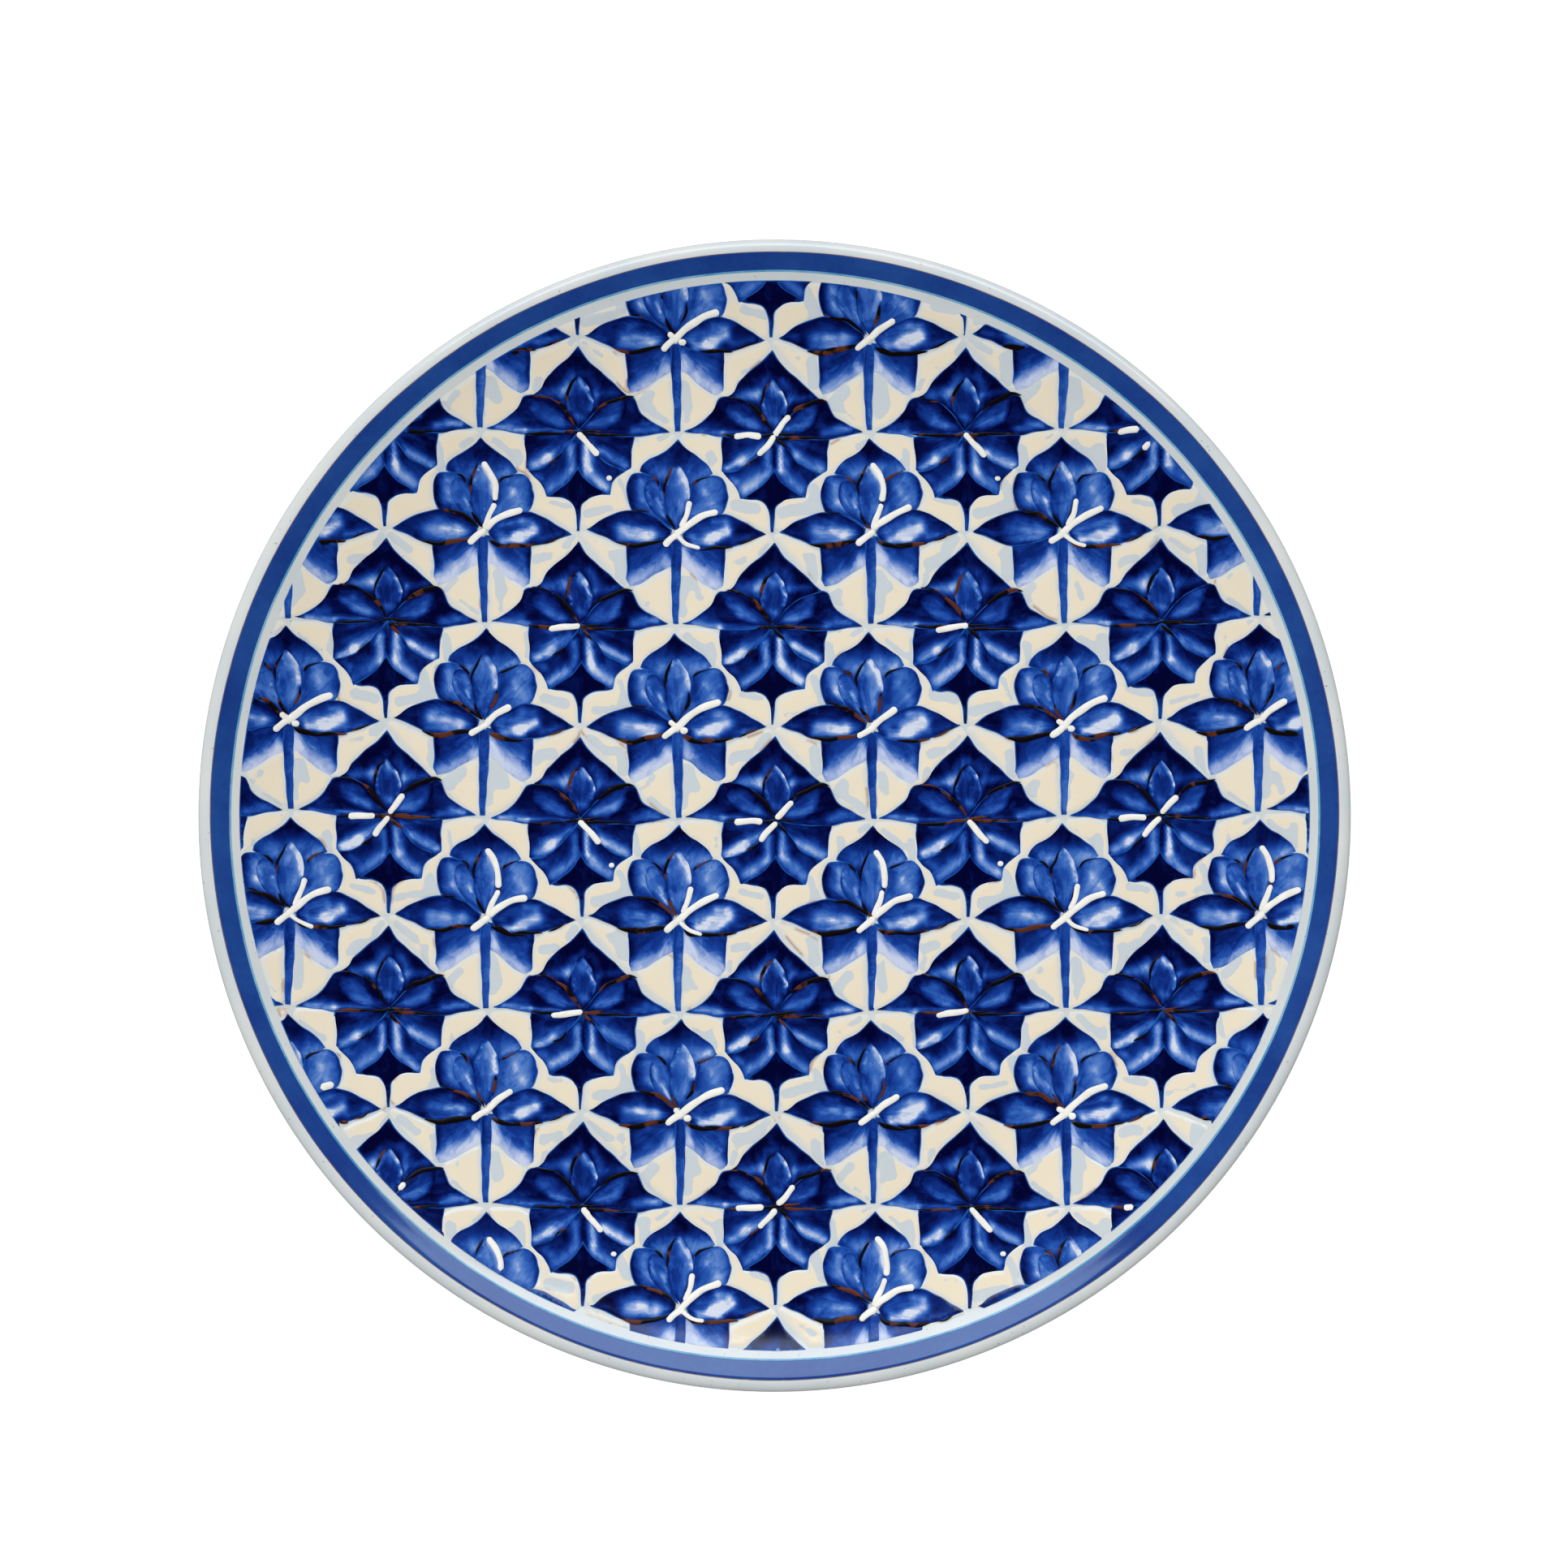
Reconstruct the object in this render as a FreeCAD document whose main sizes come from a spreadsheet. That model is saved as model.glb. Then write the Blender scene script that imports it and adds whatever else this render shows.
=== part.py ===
"""Hand painted ceramic coupe plate, as a parametric FreeCAD document.

Millimetres, +Z up. The origin is the centre of the circle on which the foot ring stands.
The clay body, its foot and its coats of glaze are revolved from sketches bound to the sheet.
The painted patches are laid on the glaze, as a painter lays them: cobalt first, then the
cream enamel of the ground, then the raised white trails and the brown lines.
"""
import FreeCAD, Part

import math
import os

import Sketcher
from FreeCAD import Vector

DRIVING = (
    ("plate_diameter", 270.0, "over the glazed lip"),
    ("clay_wall", 3.8, "thickness of the fired clay"),
    ("glaze_coat", 0.4, "glaze, face and back"),
    ("foot_height", 3.8, "floor's underside above the table"),
    ("foot_radius", 78.0, "outside of the foot ring at its root"),
    ("foot_width", 8.0, "foot ring at its root"),
    ("foot_taper", 1.0, "each side of the foot, root to tread"),
    ("foot_round", 0.8, "rounded edges of the tread"),
    ("glaze_gap", 0.4, "bare clay between glaze and foot"),
    ("floor_radius", 90.0, "flat middle of the face"),
    ("dish_radius", 75.0, "arc of the face from floor to lip"),
    ("paint_coat", 0.25, "cobalt paint"),
    ("enamel_coat", 0.6, "cream enamel of the ground"),
    ("trail_coat", 0.5, "white trails, above the paint"),
    ("line_coat", 0.2, "brown lines, above the paint"),
    ("pattern_radius", 125.5, "edge of the painted pattern"),
    ("pale_line_inner", 127.2, "pale blue line beside the band"),
    ("band_inner", 127.7, "blue band, inner edge"),
    ("band_outer", 131.0, "blue band, outer edge"),
    ("hairline_outer", 131.3, "brown hairline, outer edge"),
    ("tile_pitch", 45.6, "one repeat of the pattern"),
    ("star_down", 1.1, "middle star below the plate's centre"),
    ("lily_up", 21.6, "lily above the star beside it"),
    ("trail_width", 1.5, "white trails"),
    ("line_width", 0.7, "brown lines"),
    ("dot_radius", 0.75, "white dots"),
)
PREFIX = "Dimensions."
SMALLEST_PATCH = 1.2    # square millimetres: less than this at the pattern's edge isn't painted
CLEARANCE = 0.15        # bare ground left between two patches of paint

doc = FreeCAD.newDocument("ceramic_plate")
sheet = doc.addObject("Spreadsheet::Sheet", "Dimensions")
for row, (alias, value, note) in enumerate(DRIVING, start=1):
    sheet.set(f"A{row}", alias)
    sheet.set(f"B{row}", str(value))
    sheet.set(f"C{row}", note)
    sheet.setAlias(f"B{row}", alias)
doc.recompute()


def size(alias):
    """The value of a driving dimension."""
    return float(getattr(sheet, alias))


# ---------------------------------------------------------------- the plate's section

FLOOR = size("floor_radius")
UNDERSIDE = size("foot_height")
CLAY_TOP = UNDERSIDE + size("clay_wall")
DISH_CENTRE = (FLOOR, CLAY_TOP + size("dish_radius"))
LIP_X = size("plate_diameter") / 2 - size("glaze_coat") - size("clay_wall") / 2
LIP_ARM = size("dish_radius") + size("clay_wall") / 2
LIP_LEAN = math.asin((LIP_X - FLOOR) / LIP_ARM)
LIP_CENTRE = (LIP_X, DISH_CENTRE[1] - LIP_ARM * math.cos(LIP_LEAN))
DOWN = -math.pi / 2
LIP_FACE_TURN = math.pi / 2 + LIP_LEAN


def on_circle(centre, radius, turn):
    """The point of a circle at a turn from +X."""
    return (centre[0] + radius * math.cos(turn), centre[1] + radius * math.sin(turn))


class Section:
    """A closed outline in a body's XZ plane, drawn corner to corner."""

    def __init__(self, label):
        self.body = doc.addObject("PartDesign::Body", label + "_body")
        self.body.Label = label
        planes = self.body.Origin.OriginFeatures
        upright = next(plane for plane in planes if plane.Role == "XZ_Plane")
        self.sketch = self.body.newObject("Sketcher::SketchObject", label + "_section")
        self.sketch.AttachmentSupport = (upright, "")
        self.sketch.MapMode = "FlatFace"
        self.joins = []

    def line(self, start, end):
        """A straight edge, and its number in the sketch."""
        segment = Part.LineSegment(Vector(*start, 0), Vector(*end, 0))
        index = self.sketch.addGeometry(segment, False)
        self.joins.append((index, 1, 2))
        return index

    def arc(self, centre, radius, first, last, backwards=False):
        """An arc between two turns, drawn from the last to the first if backwards."""
        circle = Part.Circle(Vector(*centre, 0), Vector(0, 0, 1), radius)
        index = self.sketch.addGeometry(Part.ArcOfCircle(circle, first, last), False)
        self.joins.append((index, 2, 1) if backwards else (index, 1, 2))
        return index

    def close(self, smooth=()):
        """Join each edge's end to the next edge's start, tangent after the smooth ones."""
        for here, after in zip(self.joins, self.joins[1:] + self.joins[:1]):
            kind = "Tangent" if here[0] in smooth else "Coincident"
            self.sketch.addConstraint(
                Sketcher.Constraint(kind, here[0], here[2], after[0], after[1]))

    def rule(self, kind, *where):
        """A constraint with no size, such as Tangent or Horizontal."""
        self.sketch.addConstraint(Sketcher.Constraint(kind, *where))

    def measure(self, kind, *where, by):
        """A sized constraint that follows the sheet; where ends with today's value."""
        index = self.sketch.addConstraint(Sketcher.Constraint(kind, *where))
        self.sketch.setExpression(f"Constraints[{index}]", by)

    def revolve(self):
        """Turn the section about the plate's axis."""
        turned = self.body.newObject("PartDesign::Revolution", self.body.Label + "_turned")
        turned.Profile = self.sketch
        turned.ReferenceAxis = (self.sketch, ["V_Axis"])
        turned.Angle = 360.0
        self.body.Tip = turned
        return turned


def sheet_sum(*terms):
    """An expression that adds cells of the sheet; a term may start with a minus."""
    parts = []
    for term in terms:
        sign = "-" if term.startswith("-") else "+"
        parts.append(sign + " " + PREFIX + term.lstrip("-"))
    return " ".join(parts).lstrip("+ ")


def hold_dish(section, arc, *radius_terms):
    """Fix a dish arc's centre over the floor's edge, and its radius."""
    height = sheet_sum("foot_height", "clay_wall", "dish_radius")
    radius = sum(-size(t[1:]) if t.startswith("-") else size(t) for t in radius_terms)
    section.measure("DistanceX", -1, 1, arc, 3, DISH_CENTRE[0], by=PREFIX + "floor_radius")
    section.measure("DistanceY", -1, 1, arc, 3, DISH_CENTRE[1], by=height)
    section.measure("Radius", arc, radius, by=sheet_sum(*radius_terms))


def hold_lip(section, arc):
    """Fix how far out the lip's centre stands."""
    half = f"{PREFIX}plate_diameter / 2 - {PREFIX}glaze_coat - {PREFIX}clay_wall / 2"
    section.measure("DistanceX", -1, 1, arc, 3, LIP_X, by=half)


def hold_coated_lip(section, inner, outer):
    """Fix a coat's two lip arcs, which both start level with the lip's centre."""
    wall, coat = size("clay_wall"), size("glaze_coat")
    section.measure("Radius", inner, wall / 2, by=PREFIX + "clay_wall / 2")
    section.measure("Radius", outer, wall / 2 + coat,
                    by=f"{PREFIX}clay_wall / 2 + {PREFIX}glaze_coat")
    hold_lip(section, inner)
    hold_lip(section, outer)


def make_clay_body():
    """Floor, dished rim and rounded lip: one turned wall of constant thickness."""
    dish, wall = size("dish_radius"), size("clay_wall")
    section = Section("clay_body")
    under = section.line((0, UNDERSIDE), (FLOOR, UNDERSIDE))
    back = section.arc(DISH_CENTRE, dish + wall, DOWN, DOWN + LIP_LEAN)
    lip = section.arc(LIP_CENTRE, wall / 2, DOWN + LIP_LEAN, LIP_FACE_TURN)
    face = section.arc(DISH_CENTRE, dish, DOWN, DOWN + LIP_LEAN, backwards=True)
    top = section.line((FLOOR, CLAY_TOP), (0, CLAY_TOP))
    axis = section.line((0, CLAY_TOP), (0, UNDERSIDE))
    section.close(smooth=(under, back, lip, face))
    section.rule("Horizontal", under)
    section.rule("Horizontal", top)
    section.rule("PointOnObject", axis, 1, -2)
    section.rule("PointOnObject", axis, 2, -2)
    hold_dish(section, face, "dish_radius")
    section.rule("Coincident", back, 3, face, 3)
    section.measure("Radius", back, dish + wall, by=sheet_sum("dish_radius", "clay_wall"))
    hold_lip(section, lip)
    section.revolve()
    return section.body


def make_face_glaze():
    """The white coat over the face, round the lip to its outermost line."""
    dish, wall, coat = size("dish_radius"), size("clay_wall"), size("glaze_coat")
    edge = on_circle(LIP_CENTRE, wall / 2, 0)
    outside = on_circle(LIP_CENTRE, wall / 2 + coat, 0)
    section = Section("face_glaze")
    seat = section.line((0, CLAY_TOP), (FLOOR, CLAY_TOP))
    low = section.arc(DISH_CENTRE, dish, DOWN, DOWN + LIP_LEAN)
    inner = section.arc(LIP_CENTRE, wall / 2, 0, LIP_FACE_TURN, backwards=True)
    end = section.line(edge, outside)
    outer = section.arc(LIP_CENTRE, wall / 2 + coat, 0, LIP_FACE_TURN)
    high = section.arc(DISH_CENTRE, dish - coat, DOWN, DOWN + LIP_LEAN, backwards=True)
    top = section.line((FLOOR, CLAY_TOP + coat), (0, CLAY_TOP + coat))
    axis = section.line((0, CLAY_TOP + coat), (0, CLAY_TOP))
    section.close(smooth=(seat, low, outer, high))
    for flat in (seat, top, end):
        section.rule("Horizontal", flat)
    section.rule("PointOnObject", axis, 1, -2)
    section.rule("PointOnObject", axis, 2, -2)
    section.rule("Horizontal", inner, 3, inner, 1)
    hold_dish(section, low, "dish_radius")
    hold_dish(section, high, "dish_radius", "-glaze_coat")
    hold_coated_lip(section, inner, outer)
    section.revolve()
    return section.body


def make_back_glaze():
    """The coat under the rim, from the lip's outermost line to beside the foot."""
    dish, wall, coat = size("dish_radius"), size("clay_wall"), size("glaze_coat")
    start = size("foot_radius") + size("glaze_gap")
    edge = on_circle(LIP_CENTRE, wall / 2, 0)
    outside = on_circle(LIP_CENTRE, wall / 2 + coat, 0)
    section = Section("back_glaze")
    seat = section.line((FLOOR, UNDERSIDE), (start, UNDERSIDE))
    stop = section.line((start, UNDERSIDE), (start, UNDERSIDE - coat))
    bottom = section.line((start, UNDERSIDE - coat), (FLOOR, UNDERSIDE - coat))
    low = section.arc(DISH_CENTRE, dish + wall + coat, DOWN, DOWN + LIP_LEAN)
    outer = section.arc(LIP_CENTRE, wall / 2 + coat, DOWN + LIP_LEAN, 0)
    end = section.line(outside, edge)
    inner = section.arc(LIP_CENTRE, wall / 2, DOWN + LIP_LEAN, 0, backwards=True)
    high = section.arc(DISH_CENTRE, dish + wall, DOWN, DOWN + LIP_LEAN, backwards=True)
    section.close(smooth=(bottom, low, inner, high))
    for flat in (seat, bottom, end):
        section.rule("Horizontal", flat)
    section.rule("Vertical", stop)
    section.rule("Horizontal", inner, 3, inner, 2)
    section.measure("DistanceX", -1, 1, stop, 1, start,
                    by=sheet_sum("foot_radius", "glaze_gap"))
    hold_dish(section, low, "dish_radius", "clay_wall", "glaze_coat")
    hold_dish(section, high, "dish_radius", "clay_wall")
    hold_coated_lip(section, inner, outer)
    section.revolve()
    return section.body


def make_foot_ring():
    """The turned ring that the plate stands on, left bare so it can't stick in the kiln."""
    outer, taper, rise = size("foot_radius"), size("foot_taper"), size("foot_height")
    inner = outer - size("foot_width")
    section = Section("foot_ring")
    tread = section.line((inner + taper, 0), (outer - taper, 0))
    outside = section.line((outer - taper, 0), (outer, rise))
    root = section.line((outer, rise), (inner, rise))
    inside = section.line((inner, rise), (inner + taper, 0))
    section.close()
    section.rule("Horizontal", tread)
    section.rule("Horizontal", root)
    section.rule("PointOnObject", tread, 1, -1)
    section.measure("DistanceX", -1, 1, outside, 2, outer, by=PREFIX + "foot_radius")
    section.measure("DistanceX", -1, 1, tread, 2, outer - taper,
                    by=sheet_sum("foot_radius", "-foot_taper"))
    section.measure("DistanceX", -1, 1, inside, 1, inner,
                    by=sheet_sum("foot_radius", "-foot_width"))
    section.measure("DistanceX", -1, 1, tread, 1, inner + taper,
                    by=sheet_sum("foot_radius", "-foot_width", "foot_taper"))
    section.measure("DistanceY", -1, 1, root, 1, rise, by=PREFIX + "foot_height")
    turned = section.revolve()
    doc.recompute()
    low_edges = [f"Edge{number}" for number, edge in enumerate(turned.Shape.Edges, start=1)
                 if abs(edge.BoundBox.ZMax) < 1e-6 and isinstance(edge.Curve, Part.Circle)]
    rounding = section.body.newObject("PartDesign::Fillet", "foot_ring_round")
    rounding.Base = (turned, low_edges)
    rounding.setExpression("Radius", PREFIX + "foot_round")
    section.body.Tip = rounding
    return section.body


def make_foot_well_glaze():
    """The thin disc of glaze inside the foot ring."""
    disc = doc.addObject("Part::Cylinder", "foot_well_glaze")
    disc.setExpression("Height", PREFIX + "glaze_coat")
    disc.setExpression("Radius", sheet_sum("foot_radius", "-foot_width", "-glaze_gap"))
    disc.setExpression("Placement.Base.z", sheet_sum("foot_height", "-glaze_coat"))
    return disc


def make_rim_ring(label, inner_alias, outer_alias):
    """A painted ring on the dished rim, with upright edges."""
    low_radius = size("dish_radius") - size("glaze_coat")
    high_radius = low_radius - size("paint_coat")
    inner, outer = size(inner_alias), size(outer_alias)

    def turn(radius, arc_radius):
        return DOWN + math.asin((radius - FLOOR) / arc_radius)

    low_turns = (turn(inner, low_radius), turn(outer, low_radius))
    high_turns = (turn(inner, high_radius), turn(outer, high_radius))
    section = Section(label)
    low = section.arc(DISH_CENTRE, low_radius, *low_turns)
    outside = section.line(on_circle(DISH_CENTRE, low_radius, low_turns[1]),
                           on_circle(DISH_CENTRE, high_radius, high_turns[1]))
    high = section.arc(DISH_CENTRE, high_radius, *high_turns, backwards=True)
    inside = section.line(on_circle(DISH_CENTRE, high_radius, high_turns[0]),
                          on_circle(DISH_CENTRE, low_radius, low_turns[0]))
    section.close()
    section.rule("Vertical", outside)
    section.rule("Vertical", inside)
    hold_dish(section, low, "dish_radius", "-glaze_coat")
    hold_dish(section, high, "dish_radius", "-glaze_coat", "-paint_coat")
    section.measure("DistanceX", -1, 1, outside, 1, outer, by=PREFIX + outer_alias)
    section.measure("DistanceX", -1, 1, inside, 1, inner, by=PREFIX + inner_alias)
    section.revolve()
    return section.body


# ---------------------------------------------------------------- outlines of the pattern

def edge_of(run):
    """Two points make a line, three an arc, and more a smooth curve."""
    points = [Vector(x, y, 0) for x, y in run]
    if len(points) == 2:
        return Part.makeLine(*points)
    if len(points) == 3:
        return Part.Arc(*points).toShape()
    curve = Part.BSplineCurve()
    curve.interpolate(points)
    return curve.toShape()


def patch(*runs):
    """A flat patch bounded by runs that meet end to end."""
    return Part.Face(Part.Wire([edge_of(run) for run in runs]))


def both_sides(shape):
    """A patch and its mirror image across the flower's upright middle line."""
    return [shape, shape.mirror(Vector(0, 0, 0), Vector(1, 0, 0))]


def stroke(start, end, width):
    """A straight trail of glaze with round ends."""
    first, last = Vector(*start, 0), Vector(*end, 0)
    along = (last - first).normalize()
    aside = Vector(-along.y, along.x, 0) * (width / 2)
    cap = along * (width / 2)
    wire = Part.Wire([
        Part.makeLine(first + aside, last + aside),
        Part.Arc(last + aside, last + cap, last - aside).toShape(),
        Part.makeLine(last - aside, first - aside),
        Part.Arc(first - aside, first - cap, first + aside).toShape(),
    ])
    return Part.Face(wire)


def dot(centre):
    """A round drop of glaze."""
    circle = Part.Circle(Vector(*centre, 0), Vector(0, 0, 1), size("dot_radius"))
    return Part.Face(Part.Wire([circle.toShape()]))


def lily_patches():
    """The lily's painted patches about its centre, by node, first laid first."""
    crown = patch([(0, 1.6), (-3.0, 9.3), (0, 16.6)], [(0, 16.6), (3.0, 9.3), (0, 1.6)])
    hood = patch([(-3.9, 12.0), (-8.5, 14.6)],
                 [(-8.5, 14.6), (-6.4, 17.4), (-2.6, 20.0), (0, 22.3)],
                 [(0, 22.3), (2.6, 20.0), (6.4, 17.4), (8.5, 14.6)],
                 [(8.5, 14.6), (3.9, 12.0)],
                 [(3.9, 12.0), (2.4, 14.8), (0, 17.3)],
                 [(0, 17.3), (-2.4, 14.8), (-3.9, 12.0)])
    round_petal = patch([(-1.2, 2.2), (-3.5, 6.5), (-4.0, 11.6)],
                        [(-4.0, 11.6), (-6.2, 13.2), (-9.4, 13.8), (-11.4, 9.8), (-10.5, 6.0)],
                        [(-10.5, 6.0), (-5.9, 5.2), (-1.2, 2.2)])
    leaf = patch([(-1.3, -0.3), (-1.3, 1.3)],
                 [(-1.3, 1.3), (-5.5, 4.2), (-10.8, 5.1), (-16.2, 3.4), (-21.0, 0.6)],
                 [(-21.0, 0.6), (-17.0, -1.5), (-13.0, -2.8), (-7.0, -2.5), (-1.3, -0.3)])
    skirt = patch([(-1.6, -2.2), (-4.6, -2.7), (-8.4, -3.4), (-11.9, -3.7)],
                  [(-11.9, -3.7), (-11.6, -10.7)],
                  [(-11.6, -10.7), (-10.7, -12.2)],
                  [(-10.7, -12.2), (-6.5, -10.2), (-1.6, -6.9)],
                  [(-1.6, -6.9), (-1.6, -2.2)])
    stem = patch([(-1.2, -1.9), (1.2, -1.9)], [(1.2, -1.9), (0.5, -20.7)],
                 [(0.5, -20.7), (-0.5, -20.7)], [(-0.5, -20.7), (-1.2, -1.9)])
    kite = patch([(-1.6, -8.8), (-10.0, -13.2)],
                 [(-10.0, -13.2), (-7.8, -16.8), (-4.6, -19.2), (-1.2, -20.9)],
                 [(-1.2, -20.9), (-1.6, -8.8)])
    upper_pad = patch([(-1.4, 22.6), (-9.8, 20.8)],
                      [(-9.8, 20.8), (-9.9, 14.7)],
                      [(-9.9, 14.7), (-14.0, 9.8), (-15.4, 6.4)],
                      [(-15.4, 6.4), (-18.6, 6.0), (-20.8, 4.4), (-22.0, 1.8)],
                      [(-22.0, 1.8), (-16.6, 4.1), (-11.2, 5.7)],
                      [(-11.2, 5.7), (-12.2, 9.8), (-10.2, 14.3), (-9.0, 15.0)],
                      [(-9.0, 15.0), (-6.9, 18.0), (-3.2, 20.6), (-1.4, 22.6)])
    lower_pad = patch([(-20.6, -0.6), (-12.5, -4.0)],
                      [(-12.5, -4.0), (-12.3, -11.0)],
                      [(-12.3, -11.0), (-16.2, -6.4), (-20.6, -0.6)])
    return {
        "lily_crowns": [crown],
        "lily_hoods": [hood],
        "lily_stems": [stem],
        "lily_round_petals": both_sides(round_petal),
        "lily_leaves": both_sides(leaf),
        "lily_skirts": both_sides(skirt),
        "kite_enamel": both_sides(kite),
        "ground_enamel": both_sides(upper_pad) + both_sides(lower_pad),
    }


def star_patches():
    """The star flower's painted patches about its centre, by node."""
    top_petal = patch([(0, 0.9), (-3.2, 7.6), (0, 13.3)], [(0, 13.3), (3.2, 7.6), (0, 0.9)])
    hood = patch([(-2.6, 3.9), (-7.0, 7.6)],
                 [(-7.0, 7.6), (-10.9, 9.2)],
                 [(-10.9, 9.2), (-8.6, 12.0), (-4.0, 15.6), (0, 19.5)],
                 [(0, 19.5), (4.0, 15.6), (8.6, 12.0), (10.9, 9.2)],
                 [(10.9, 9.2), (7.0, 7.6)], [(7.0, 7.6), (2.6, 3.9)],
                 [(2.6, 3.9), (3.9, 8.0), (0, 14.0)], [(0, 14.0), (-3.9, 8.0), (-2.6, 3.9)])
    side_leaf = patch([(-0.9, 0.1), (-1.4, 1.5)],
                      [(-1.4, 1.5), (-7.3, 7.2)],
                      [(-7.3, 7.2), (-12.4, 8.5)],
                      [(-12.4, 8.5), (-13.0, 6.0), (-16.6, 3.1), (-20.4, 0.5)],
                      [(-20.4, 0.5), (-12.0, -0.5), (-0.9, 0.1)])
    corner = patch([(-1.3, -1.0), (-12.2, -1.2)],
                   [(-12.2, -1.2), (-12.1, -8.3)],
                   [(-12.1, -8.3), (-8.8, -10.8), (-7.2, -14.6)],
                   [(-7.2, -14.6), (-3.4, -12.3), (-0.6, -8.4)],
                   [(-0.6, -8.4), (-1.3, -1.0)])
    tail = patch([(0, -9.4), (-2.4, -13.3), (-6.8, -15.4)],
                 [(-6.8, -15.4), (-3.4, -16.0), (-1.3, -17.4)],
                 [(-1.3, -17.4), (0, -22.8)], [(0, -22.8), (1.3, -17.4)],
                 [(1.3, -17.4), (3.4, -16.0), (6.8, -15.4)],
                 [(6.8, -15.4), (2.4, -13.3), (0, -9.4)])
    return {
        "star_top_petals": [top_petal],
        "star_hoods": [hood],
        "star_side_leaves": both_sides(side_leaf),
        "star_corners": both_sides(corner),
        "star_tails": [tail],
    }


# Trails and dots change from flower to flower, and come round again every second column
# and every second row. The keys are the column's and the row's remainder by two.
LILY_TRAILS = {
    (0, 0): (((1.2, 1.2), (9.2, 6.0)), ((-0.9, -0.7), (-2.9, -2.2))),
    (0, 1): (((1.2, 1.2), (9.2, 6.0)), ((-0.9, -0.7), (-4.6, -4.0)), ((0.9, -0.9), (4.4, -4.2))),
    (1, 1): (((1.2, 1.2), (9.2, 6.0)), ((-0.9, -0.7), (-4.6, -4.0)), ((2.3, 6.0), (2.4, 12.4))),
    (1, 0): (((1.2, 1.2), (6.2, 4.8)), ((-0.9, -0.7), (-4.6, -4.0))),
}
STAR_TRAILS = {
    (0, 0): (((-0.9, -1.0), (-3.4, -4.8)), ((1.0, 1.0), (3.8, 4.4)), ((-3.6, -0.4), (-9.0, -0.7))),
    (1, 0): (((0.9, -1.2), (5.0, -6.3)),),
    (1, 1): (((-1.6, -0.3), (-7.0, -1.0)),),
    (0, 1): (),
}
LILY_DOTS = {(0, 0): ((2.0, -1.0),)}
STAR_DOTS = {(1, 0): ((7.4, -11.2),)}
LILY_LINES = (((-13.0, -3.2), (-4.8, -1.9)), ((5.0, -2.9), (13.2, -2.9)))
STAR_LINES = (((-13.4, -0.7), (-10.6, -0.8)), ((4.0, -0.6), (13.2, -1.0)))


def lattice(first_x, first_y):
    """Every place of one flower that may reach the painted circle, with its remainders."""
    pitch = size("tile_pitch")
    reach = size("pattern_radius") + pitch / 2
    for column in range(-4, 5):
        for row in range(-4, 5):
            place = Vector(first_x + column * pitch, first_y + row * pitch, 0)
            if place.Length < reach:
                yield place, (column % 2, row % 2)


STAR_PLACES = list(lattice(0, -size("star_down")))
LILY_PLACES = list(lattice(-size("tile_pitch") / 2, size("lily_up") - size("star_down")))


# ---------------------------------------------------------------- laying patches on the glaze

def dished_layer(low, high):
    """The space between two heights above the clay, following the face, as a solid."""
    reach = size("pattern_radius") + 2
    dish = size("dish_radius")
    low_turn = DOWN + math.asin((reach - FLOOR) / (dish - low))
    high_turn = DOWN + math.asin((reach - FLOOR) / (dish - high))

    def bend(offset, turn):
        corners = [on_circle(DISH_CENTRE, dish - offset, t) for t in (DOWN, (DOWN + turn) / 2, turn)]
        return Part.Arc(*[Vector(x, 0, z) for x, z in corners]).toShape()

    low_bend, high_bend = bend(low, low_turn), bend(high, high_turn)
    low_start, low_end = Vector(0, 0, CLAY_TOP + low), low_bend.Vertexes[-1].Point
    high_start, high_end = Vector(0, 0, CLAY_TOP + high), high_bend.Vertexes[-1].Point
    wire = Part.Wire([
        Part.makeLine(low_start, low_bend.Vertexes[0].Point), low_bend,
        Part.makeLine(low_end, high_end), high_bend,
        Part.makeLine(high_bend.Vertexes[0].Point, high_start),
        Part.makeLine(high_start, low_start),
    ])
    return Part.Face(wire).revolve(Vector(0, 0, 0), Vector(0, 0, 1), 360)


PATTERN_DISC = Part.Face(Part.Wire([
    Part.Circle(Vector(0, 0, 0), Vector(0, 0, 1), size("pattern_radius")).toShape()]))


def lay(face, low, high, layer):
    """The solids that one flat patch makes on the glaze, cut off at the pattern's edge."""
    corners = [vertex.Point for vertex in face.Vertexes]
    box = face.BoundBox
    corners += [Vector(x, y, 0) for x in (box.XMin, box.XMax) for y in (box.YMin, box.YMax)]
    furthest = max(corner.Length for corner in corners)
    pieces = [face] if furthest < size("pattern_radius") else face.common(PATTERN_DISC).Faces
    solids = []
    for piece in pieces:
        if piece.Area < SMALLEST_PATCH and piece is not face:
            continue
        if furthest < FLOOR:
            flat = piece.translated(Vector(0, 0, CLAY_TOP + low))
            solids.append(flat.extrude(Vector(0, 0, high - low)))
        else:
            prism = piece.extrude(Vector(0, 0, LIP_CENTRE[1] + size("clay_wall")))
            solids += prism.common(layer).Solids
    return solids


def node_of(label, solids):
    """A group of separate solids as one object of the document."""
    if len(solids) > 1:
        shape = Part.makeCompound(solids)
    else:
        shape = solids[0]
    feature = doc.addObject("Part::Feature", label)
    feature.Shape = shape
    feature.Placement = FreeCAD.Placement()
    return feature


def trimmed(patches):
    """Each patch less the clearance round those laid before it, so none overlap."""
    laid = []
    result = {}
    for label, faces in patches.items():
        kept = []
        for face in faces:
            for earlier in laid:
                if face.BoundBox.intersect(earlier.BoundBox):
                    face = max(face.cut(earlier).Faces, key=lambda part: part.Area)
            kept.append(face)
        laid += kept
        result[label] = kept
    return result


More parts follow.
